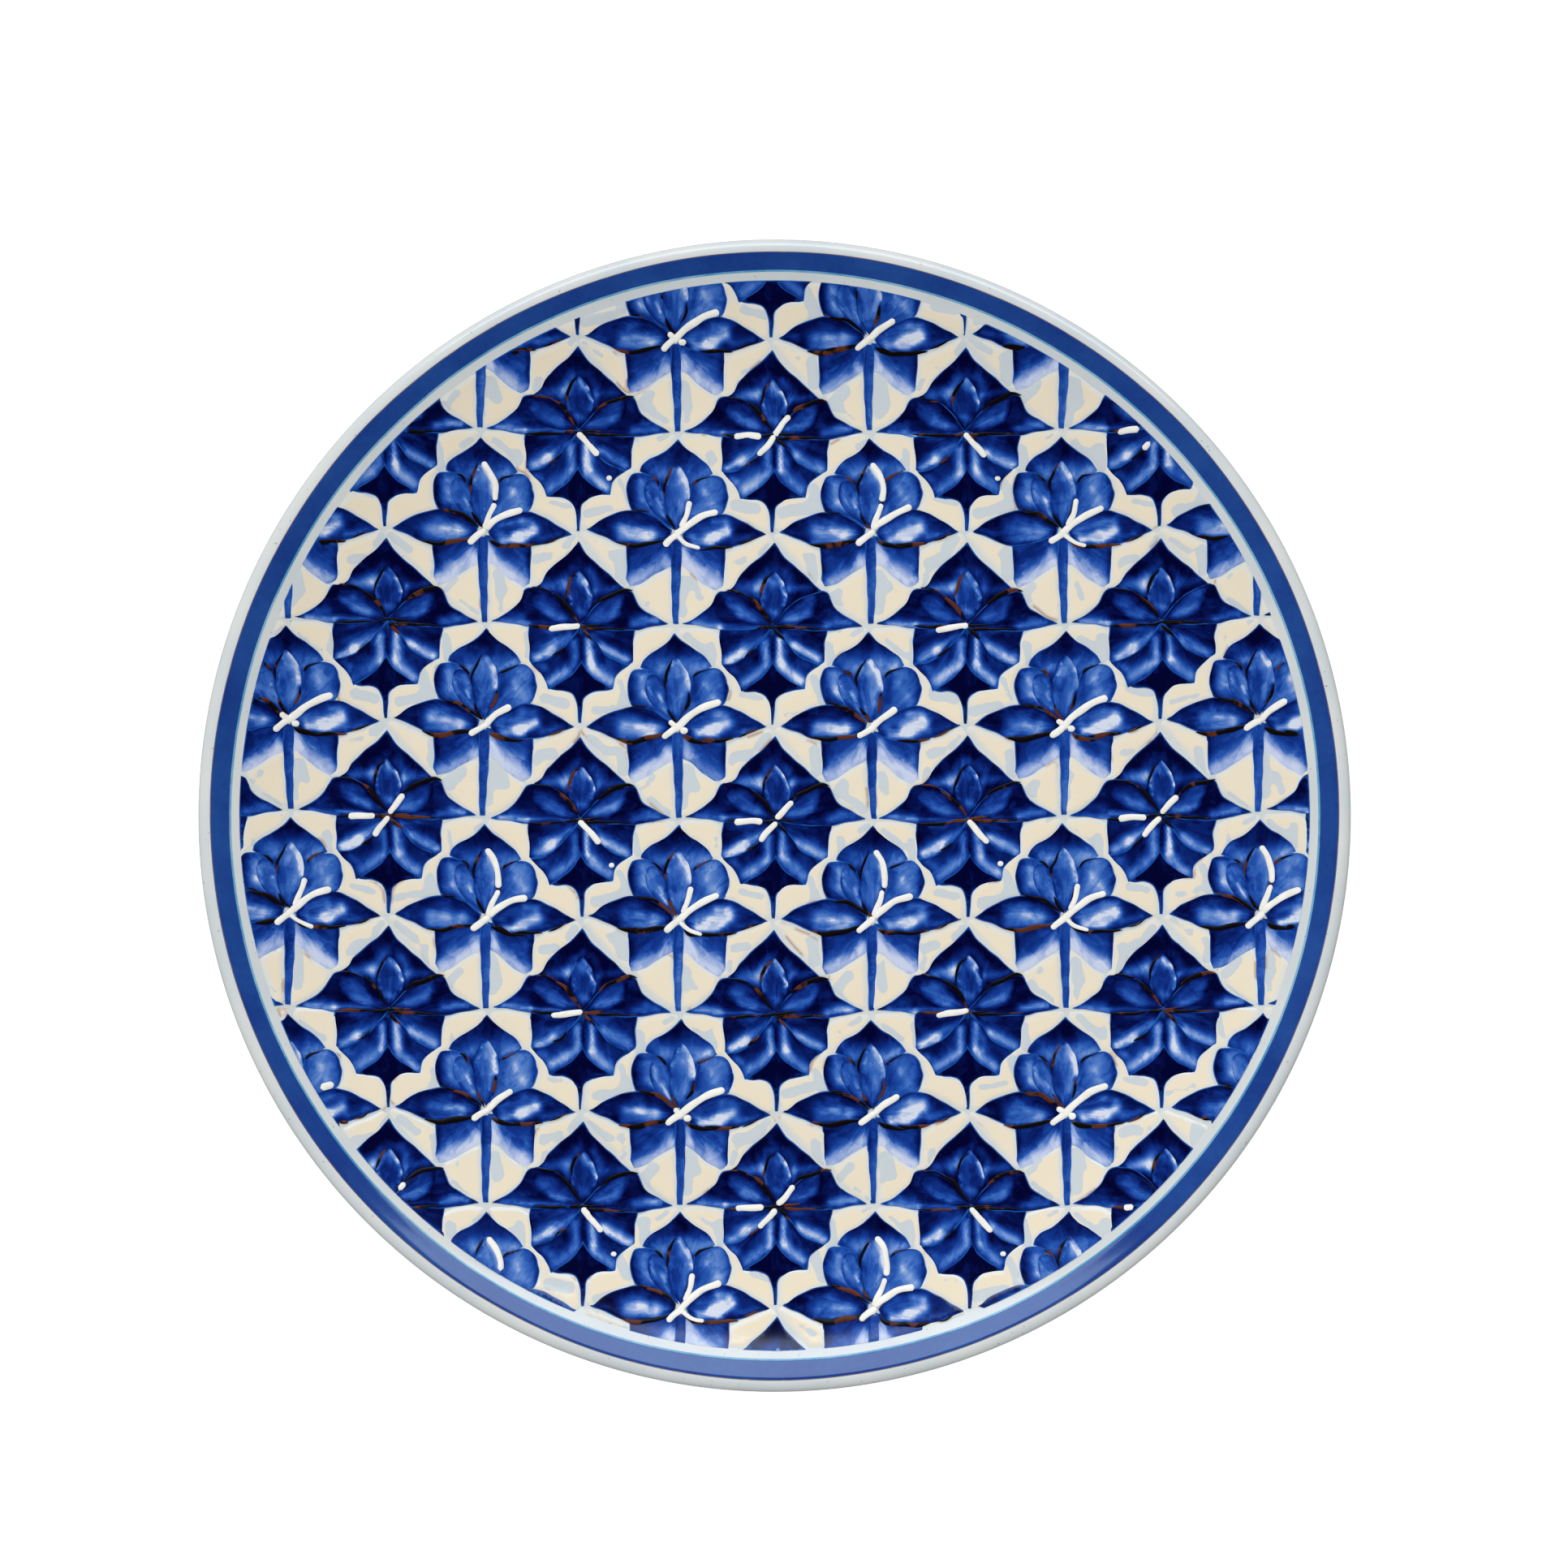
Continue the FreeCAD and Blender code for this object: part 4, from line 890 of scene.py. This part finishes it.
# %% Enamel pads, about the lily's centre
PADS = [
    ("ground_enamel", 0.34, 0.0,
     [[(-0.6, 23.3), (-4.2, 23.5), (-7.6, 22.7), (-10.0, 21.4)],
      [(-10.5, 19.0), (-10.5, 15.4)], [(-12.4, 14.3), (-14.2, 12.6), (-15.0, 10.6), (-15.5, 8.9)],
      [(-18.4, 8.8), (-20.6, 8.1), (-21.8, 6.4), (-22.2, 4.0), (-22.2, 1.6)],
      [(-21.0, 0.9), (-18.1, 2.8), (-14.9, 4.4), (-11.1, 5.6)],
      [(-11.7, 7.2), (-11.8, 9.7), (-11.4, 12.2), (-10.7, 13.9), (-8.8, 14.6)],
      [(-8.0, 16.2), (-6.6, 17.6), (-4.2, 18.9), (-2.4, 20.2), (-1.1, 21.6)]],
     [(-8.6, 15.2, -9.4, 20.0, 1.5, 0.85), (-13.6, 11.4, -11.6, 6.4, 1.3, 0.85),
      (-20.6, 4.4, -14.6, 5.6, 1.5, 0.85), (-1.4, 22.6, -3.4, 21.4, 0.9, 0.8)]),
    ("ground_enamel", 0.34, 0.0,
     [[(1.2, 23.4), (4.9, 23.5), (8.3, 23.1), (10.2, 21.9)],
      [(10.6, 19.0), (10.6, 15.2)], [(12.0, 13.6), (13.5, 12.1), (14.5, 10.4), (15.1, 8.6)],
      [(17.6, 8.3), (19.8, 7.8), (21.3, 6.4), (21.8, 4.2), (22.1, 1.0)],
      [(20.9, 0.4), (18.1, 2.1), (14.9, 3.9), (11.1, 5.5)],
      [(12.2, 7.3), (12.4, 9.4), (12.0, 11.0), (11.2, 12.9), (10.0, 14.0), (8.6, 14.6)],
      [(7.4, 16.7), (4.9, 18.6), (2.4, 20.3), (0.8, 22.2)]],
     [(9.2, 15.6, 9.0, 20.4, 1.3, 0.85), (7.6, 17.6, 3.0, 21.4, 1.0, 0.75),
      (15.4, 7.6, 20.0, 6.6, 1.2, 0.95), (13.4, 12.0, 12.8, 9.6, 0.6, 0.3)]),
    ("ground_enamel", 0.34, 0.0,
     [[(-21.6, 0.1), (-18.1, -1.4), (-14.6, -2.9), (-12.0, -4.3)],
      [(-11.9, -6.6), (-11.8, -11.0), (-11.1, -12.3)],
      [(-12.6, -11.6), (-14.9, -9.2), (-18.1, -5.8), (-20.9, -2.6), (-22.6, -0.4)]],
     [(-12.8, -10.2, -13.2, -5.4, 1.7, 0.85), (-20.6, -1.2, -16.6, -4.2, 1.2, 0.7)]),
    ("ground_enamel", 0.34, 0.0,
     [[(21.2, 0.0), (18.1, -1.6), (14.6, -2.8), (11.9, -4.3)],
      [(11.4, -5.6), (11.3, -9.1), (11.0, -11.9), (9.9, -12.9)],
      [(11.3, -13.2), (13.4, -12.0), (15.2, -8.9), (18.1, -6.3), (20.6, -4.1), (22.3, -1.6)]],
     [(13.6, -6.6, 16.6, -6.0, 1.6, 0.85), (20.0, -3.4, 21.4, -1.4, 1.2, 0.8),
      (12.4, -11.4, 13.0, -9.6, 1.2, 0.7)]),
    ("kite_enamel", 0.36, 0.0,
     [[(-1.5, -8.5), (-2.6, -8.6), (-6.8, -11.2), (-9.8, -12.7)],
      [(-9.0, -15.2), (-6.8, -17.5), (-3.2, -20.2), (-0.9, -20.8)],
      [(-1.2, -14.0)]],
     [(-9.0, -14.8, -6.4, -12.0, 1.5, 0.85), (-7.0, -17.0, -3.0, -20.0, 1.1, 0.7)]),
    ("kite_enamel", 0.36, 0.0,
     [[(1.3, -7.4), (3.0, -8.7), (5.8, -11.1), (8.9, -13.0), (9.5, -13.7)],
      [(8.2, -16.6), (5.8, -18.6), (2.8, -20.6), (0.8, -20.9)], [(1.0, -14.0)]],
     [(1.6, -9.8, 1.8, -18.0, 1.4, 0.9), (2.6, -10.6, 3.8, -14.6, 1.5, 0.85)]),
]
print(len(PADS), "enamel pads to a lily")

# %% [markdown]
# ## Laying the paint
# A patch is netted once, then laid at every flower, each time with its own small error of hand.
# The painted field ends in a circle, so a patch that crosses the circle is cut there. Each patch
# is a closed thin solid: a top that bulges with the paint, a floor sunk a little into the glaze,
# and a wall between them. All patches of one kind make one piece, which stands for one CAD node.

# %% Layers of paint
UPPER_LIFT = 0.195
UPPER_SEAM, LOWER_SEAM = 0.24, 0.10
EDGE_ROUND = 0.28
SHOULDER = 1.3
SUNK_PAINT = 0.12
PAD_ERROR = 3.5
LONGEST_REACH = 36.0


class Layer:
    """All the paint of one kind, gathered into one mesh."""

    def __init__(self):
        self.points, self.faces = [], []
        self.numbers = {"tone": [], "edge": [], "turn": [], "reach": [], "seed": []}
        self.count = 0

    def add(self, points, face_sets, numbers):
        """Join one more closed solid, with the numbers its points carry."""
        for faces in face_sets:
            self.faces.extend((faces + self.count).tolist())
        self.points.append(points)
        for label, values in numbers.items():
            self.numbers[label].append(np.tile(values, len(points) // len(values)))
        self.count += len(points)

    def finish(self, name, node, slot):
        """Make the mesh and store the numbers on its points."""
        mesh = bpy.data.meshes.new(name)
        mesh.from_pydata((np.vstack(self.points) * MM).tolist(), [], self.faces)
        for label, values in self.numbers.items():
            if values:
                store = mesh.attributes.new(label, "FLOAT", "POINT")
                store.data.foreach_set("value", np.concatenate(values).astype(np.float32))
        mesh.shade_smooth()
        mesh.set_sharp_from_angle(angle=SHARP)
        return add_piece(name, mesh, [node], slot)


def prepare(patches, margin, insets=(EDGE_ROUND,)):
    """Net every patch once, about its flower's centre."""
    ready = []
    for node, lift, tone, runs, strokes in patches:
        loop = outline_loop(runs)
        net, faces, edge = fill(grow(loop, margin), insets)
        ready.append((node, lift, tone, net, faces, edge, strokes))
    return ready


def brushed_tone(points, edge, tone, strokes, seam, slack):
    """Tone at each point: the ground tone, darker at the seam, and the soft strokes over it."""
    total = tone + random.uniform(-0.04, 0.04) - seam * np.exp(-(edge / 0.5) ** 2)
    for x0, y0, x1, y1, breadth, amount in strokes:
        slip = slack * np.array([random.gauss(0, 0.22), random.gauss(0, 0.22)])
        distance = distance_to_lines(points, np.array([[x0, y0]]) + slip,
                                     np.array([[x1, y1]]) + slip)
        breadth = breadth * random.uniform(0.85, 1.05 + 0.15 * slack)
        strength = amount * random.uniform(0.8 - 0.1 * slack, 1.2)
        total += strength * np.exp(-(distance / breadth) ** 2)
    return np.clip(total, 0, 1)


def cut_at_circle(points, faces, edge):
    """Cut a placed patch at the painted circle: what is left of it, and which points stay."""
    radius = np.hypot(points[:, 0], points[:, 1])
    faces = faces[radius[faces].min(axis=1) < PATTERN_RADIUS - 0.05]
    points = points / np.maximum(1.0, radius / PATTERN_RADIUS)[:, None]
    edge = np.minimum(edge, np.maximum(0, PATTERN_RADIUS - radius))
    used, renumbered = np.unique(faces, return_inverse=True)
    return points[used], renumbered.reshape(-1, 3), edge[used], used


def lay(layer, points, faces, height, numbers):
    """Close one patch into a thin solid on the dished face and join it to its layer."""
    base = face_height(np.hypot(points[:, 0], points[:, 1]))
    solid = np.vstack([np.column_stack([points, base + height]),
                       np.column_stack([points, base - SUNK_PAINT])])
    sides = np.vstack([faces[:, [0, 1]], faces[:, [1, 2]], faces[:, [2, 0]]])
    first, counts = np.unique(np.sort(sides, axis=1), axis=0, return_index=True,
                              return_counts=True)[1:]
    rim = sides[first[counts == 1]]
    under = len(points)
    walls = np.column_stack([rim[:, 0], rim[:, 0] + under, rim[:, 1] + under, rim[:, 1]])
    layer.add(solid, [faces, faces[:, ::-1] + under, walls], numbers)


def lay_flower(layers, patches, place, raised):
    """Lay every patch of one flower at its place, with a small error of hand."""
    lean = math.radians(random.gauss(0, 0.35))
    size = random.gauss(1.0, 0.004)
    turned = size * np.array([[math.cos(lean), math.sin(lean)], [-math.sin(lean), math.cos(lean)]])
    shift = place + np.array([random.gauss(0, 0.12), random.gauss(0, 0.12)])
    seed = random.uniform(0, 40)
    for node, lift, tone, net, faces, edge, strokes in patches:
        upper = lift > UPPER_LIFT and not raised
        seam = 0 if raised else UPPER_SEAM if upper else LOWER_SEAM
        slack = PAD_ERROR if raised else 1.0
        tones = brushed_tone(net, edge, tone, strokes, seam, slack)
        points, kept, edges, used = cut_at_circle(hand_drift(net @ turned + shift), faces, edge)
        if len(kept) < 8:
            continue
        numbers = {"tone": tones[used], "edge": edges + 1 if upper else edges}
        if raised:
            share = np.clip(edges / SHOULDER, 0, 1)
            thin = 1 - 0.3 * np.clip(numbers["tone"], 0, 1)
            height = (lift + 0.05) * share ** 1.5 * (2.5 - 1.5 * share) * thin - 0.05
        else:
            height = lift * (0.82 + 0.18 * np.clip(edges / EDGE_ROUND, 0, 1))
            numbers["turn"] = np.arctan2(net[used, 0], net[used, 1])
            numbers["reach"] = np.hypot(net[used, 0], net[used, 1]) / LONGEST_REACH
            numbers["seed"] = np.full(len(used), seed + 3 * lift + tone)
        lay(layers.setdefault(node, Layer()), points, kept, height, numbers)
    return turned, shift


# %% Lay lilies, stars and pads
NODE_SLOTS = {
    "lily_hoods": "cobalt_wash", "lily_round_petals": "cobalt_wash",
    "lily_crowns": "cobalt_deep", "lily_leaves": "cobalt_deep", "lily_stems": "cobalt_deep",
    "lily_skirts": "lavender_wash", "star_hoods": "cobalt_wash",
    "star_top_petals": "cobalt_deep", "star_side_leaves": "cobalt_deep",
    "star_corners": "cobalt_wash", "star_tails": "cobalt_deep",
    "ground_enamel": "cream_enamel", "kite_enamel": "cream_enamel",
}
layers = {}
lily_net = prepare(LILY, margin=0.1)
star_net = prepare(STAR, margin=0.1)
pad_net = prepare(PADS, margin=0.45, insets=(0.35, 0.75, 1.2))
lily_stands, star_stands = [], []
for place, habit in LILIES:
    lily_stands.append((lay_flower(layers, lily_net, place, raised=False), habit))
for place, habit in STARS:
    star_stands.append((lay_flower(layers, star_net, place, raised=False), habit))
for place, habit in LILIES:
    lay_flower(layers, pad_net, place, raised=True)
for node, slot in NODE_SLOTS.items():
    piece = layers[node].finish("painted_" + node, node, slot)
    print(f"{piece.name}: {len(piece.data.polygons)} faces")

# %% [markdown]
# ## White trails and brown lines
# Last of all come the marks that stand highest. White enamel is squeezed out in short thick
# trails that cross at the flowers' centres, and thin brown oxide lines pick out the edges of some
# petals. Both are ridges: a rounded section carried along a stroke, its lower half sunk in the
# paint, rounded or drawn out to a point at its ends. Every flower repeats the habits of its place
# in the pattern, never exactly.

# %% Ridges
TRAIL_TOP, TRAIL_WAIST = 0.58, 0.20
DOT_TOP = 0.66
LINE_TOP, LINE_WAIST = 0.42, 0.26
BELOW_WAIST = 0.2
LINES_SKIPPED = 0.08


def length_along(points):
    """Length from the first point to each point of a line."""
    steps = np.linalg.norm(np.diff(points, axis=0), axis=1)
    return np.concatenate([[0], np.cumsum(steps)])


def ridge(layer, path, stand, breadth, top, waist, ends, around, step, error=0.1):
    """A raised stroke along a path: ends 'round', 'drawn' to a point, or 'fading' at the end.

    Top and waist are the heights of its crest and of its broadest part above the glaze.
    """
    turned, shift = stand
    path = np.array(path, float)
    path = path + np.array([[random.gauss(0, error), random.gauss(0, error)] for _ in path])
    if ends == "round":
        outward = [path[0] - path[1], path[-1] - path[-2]]
        for tip, way in zip((0, -1), outward):
            path[tip] += way / max(1e-6, np.linalg.norm(way)) * breadth / 2
    curve = np.vstack([path[:1], smooth_through(path)])
    lengths = length_along(curve)
    total = lengths[-1]
    end = min(breadth / 2 if ends == "round" else 2 * step, 0.45 * total)
    bend = end * (1 - np.cos(np.linspace(0, math.pi / 2, 5)))
    middle = np.linspace(end, total - end, max(2, int((total - 2 * end) / step)))[1:-1]
    at = np.concatenate([bend, middle, (total - bend)[::-1]])
    line = np.column_stack([np.interp(at, lengths, curve[:, k]) for k in (0, 1)])
    line = hand_drift(line @ turned + shift)
    line = line[np.hypot(line[:, 0], line[:, 1]) < PATTERN_RADIUS - 0.5 * breadth]
    if len(line) < 5:
        return
    near = length_along(line)
    total = near[-1]
    far = total - near
    if ends == "round":
        soft = np.clip(np.minimum(near, far) / (breadth / 2), 0, 1)
        girth = np.sqrt(np.maximum(0.004, 1 - (1 - soft) ** 2))
    elif ends == "drawn":
        girth = np.clip(np.minimum(near, far) / (0.35 * total), 0.03, 1) ** 0.5
    else:
        girth = np.clip(near / (0.2 * total), 0.05, 1) ** 0.6
        girth = girth * np.clip(far / (0.8 * total), 0.04, 1) ** 0.7
    waver = 1 + 0.07 * np.sin(near * 0.9 + random.uniform(0, 6))
    along = np.gradient(line, axis=0)
    along /= np.maximum(1e-9, np.linalg.norm(along, axis=1))[:, None]
    side = np.column_stack([-along[:, 1], along[:, 0]])
    turns = np.linspace(0, 2 * math.pi, around, endpoint=False)
    half = (breadth / 2 * girth * waver)[:, None, None]
    flat = line[:, None, :] + np.cos(turns)[None, :, None] * side[:, None, :] * half
    rise = np.sin(turns) * np.where(np.sin(turns) > 0, top - waist, BELOW_WAIST)
    height = face_height(np.hypot(flat[..., 0], flat[..., 1])) + waist
    height = height + rise[None] * girth[:, None] ** 0.7
    points = np.concatenate([flat, height[..., None]], axis=2).reshape(-1, 3)
    index = np.arange(len(points)).reshape(len(line), around)
    beside = np.roll(index, -1, axis=1)
    quads = np.stack([index[:-1], index[1:], beside[1:], beside[:-1]], axis=-1).reshape(-1, 4)
    tips = np.stack([points[:around].mean(axis=0), points[-around:].mean(axis=0)])
    first = np.column_stack([index[0], beside[0], np.full(around, len(points))])
    last = np.column_stack([beside[-1], index[-1], np.full(around, len(points) + 1)])
    layer.add(np.vstack([points, tips]), [quads, first, last], {})


# %% What each flower carries
LILY_TRAILS = {
    (0, 0): [([(0, -0.1), (1.7, 1.6), (4.6, 3.8), (7.1, 5.2), (9.4, 6.0)], 1.5),
             ([(0.2, 0.2), (-1.4, -1.0), (-2.8, -2.0)], 1.4), ([(-1.3, 1.1), (-0.2, 0.2)], 1.2)],
    (0, 1): [([(0, 0.2), (2.0, 1.8), (5.2, 4.2), (9.0, 5.6)], 1.4),
             ([(0.2, 0.1), (-1.2, -1.0), (-2.6, -2.2)], 1.4),
             ([(0.6, -0.7), (2.4, -2.1), (5.0, -2.9)], 0.9),
             ([(1.3, 2.2), (2.3, 4.6), (3.1, 7.4)], 1.2)],
    (1, 1): [([(1.0, 1.2), (2.8, 2.6), (5.4, 4.3), (8.8, 5.4)], 1.4),
             ([(0.1, 0.1), (-1.2, -1.0), (-2.8, -2.2)], 1.4),
             ([(0.7, 16.0), (2.1, 13.8), (2.9, 11.0), (2.9, 8.2)], 1.3),
             ([(2.5, 6.4), (1.6, 4.0), (0.5, 1.4)], 1.2)],
    (1, 0): [([(0.6, 0.5), (2.6, 2.3), (5.6, 4.2)], 1.4),
             ([(0.1, 0.0), (-1.2, -0.9), (-2.8, -2.0)], 1.3)],
}
LILY_DOTS = {(0, 0): [(1.6, -0.8, 0.8)]}
LILY_LINES = [
    ([(-14.4, -2.3), (-10.6, -2.9), (-7.0, -2.3), (-2.6, -1.5)], 0.95, "drawn"),
    ([(1.4, -1.9), (3.0, -2.8), (5.8, -3.4), (9.6, -3.5)], 1.00, "fading"),
    ([(5.8, -2.9), (9.6, -3.0), (13.5, -2.8)], 0.70, "drawn"),
    ([(14.6, -2.3), (17.0, -1.5), (19.0, -0.4)], 0.35, "drawn"),
    ([(-9.2, 5.0), (-5.6, 4.4), (-3.4, 3.0), (-1.0, 1.0)], 0.75, "drawn"),
    ([(-2.4, 4.9), (-1.4, 2.8), (-0.2, 1.1)], 0.60, "drawn"),
    ([(-0.7, 16.3), (-2.3, 13.5), (-2.9, 11.3), (-2.9, 9.2)], 0.50, "drawn"),
    ([(2.9, 8.2), (2.5, 6.0), (1.3, 3.4)], 0.60, "drawn"),
    ([(-5.9, 13.6), (-4.7, 12.9), (-3.8, 11.6)], 0.50, "drawn"),
    ([(3.7, 11.8), (4.9, 13.0), (8.0, 14.1)], 0.50, "fading"),
    ([(-10.4, 5.6), (-8.8, 5.3), (-7.0, 5.0)], 0.35, "drawn"),
]
STAR_TRAILS = {
    (0, 0): [([(-3.9, -0.5), (-6.2, -0.5), (-8.9, -0.8)], 1.35),
             ([(-0.4, -1.0), (-2.0, -2.8), (-3.4, -4.7)], 1.25),
             ([(0.6, 0.6), (2.0, 2.4), (3.4, 4.1)], 1.30)],
    (1, 0): [([(0.4, -0.9), (2.4, -3.4), (4.2, -5.4)], 1.3)],
    (1, 1): [([(-0.6, -0.2), (-3.6, -0.6), (-6.8, -1.2)], 1.3)],
    (0, 1): [],
}
STAR_DOTS = {(1, 0): [(7.3, -11.1, 0.6)]}
STAR_LINES = [
    ([(-11.1, 8.4), (-8.6, 8.1), (-6.1, 7.3)], 0.35, "drawn"),
    ([(-6.1, 7.2), (-4.1, 5.6), (-2.0, 3.1), (-0.4, 0.6)], 0.75, "drawn"),
    ([(3.8, 4.7), (5.5, 6.0), (7.7, 7.1), (11.1, 8.2), (12.9, 7.9)], 0.80, "drawn"),
    ([(0.5, -0.7), (6.8, -0.8), (12.7, -0.8)], 0.72, "fading"),
    ([(-3.3, -0.5), (1.0, -0.1), (5.2, 0.1)], 0.45, "drawn"),
    ([(-12.4, -0.6), (-8.6, -0.7), (-3.4, -0.5)], 0.60, "drawn"),
    ([(-3.6, -0.5), (-2.0, -0.4), (-0.2, -0.2)], 0.60, "drawn"),
    ([(0.2, -0.6), (1.6, -1.9), (3.1, -3.5)], 0.60, "drawn"),
    ([(-3.9, -5.2), (-5.3, -6.5), (-6.8, -7.5)], 0.45, "drawn"),
    ([(-0.3, 12.4), (-1.7, 11.0), (-2.6, 8.8), (-2.9, 6.6)], 0.55, "drawn"),
]

trails, dots, lily_marks, star_marks = Layer(), Layer(), Layer(), Layer()
for stands, all_trails, all_dots, lines, marks in (
        (lily_stands, LILY_TRAILS, LILY_DOTS, LILY_LINES, lily_marks),
        (star_stands, STAR_TRAILS, STAR_DOTS, STAR_LINES, star_marks)):
    for stand, habit in stands:
        for path, breadth in all_trails[habit]:
            ridge(trails, path, stand, 1.1 * breadth, TRAIL_TOP, TRAIL_WAIST, "round",
                  around=12, step=0.45)
        for x, y, radius in all_dots.get(habit, []):
            ridge(dots, [(x - 0.1, y), (x + 0.1, y)], stand, 2 * radius, DOT_TOP, TRAIL_WAIST,
                  "round", around=16, step=0.2, error=0)
        for path, breadth, ends in lines:
            if random.random() < LINES_SKIPPED:
                continue
            ridge(marks, path, stand, breadth * random.uniform(1.0, 1.5), LINE_TOP, LINE_WAIST,
                  ends, around=8, step=0.5, error=0.16)
trails.finish("white_enamel_trails", "white_trails", "white_enamel")
dots.finish("white_enamel_dots", "white_dots", "white_enamel")
lily_marks.finish("brown_lily_lines", "lily_lines", "brown_line")
star_marks.finish("brown_star_lines", "star_lines", "brown_line")
print(trails.count, "trail points and", lily_marks.count + star_marks.count, "line points")
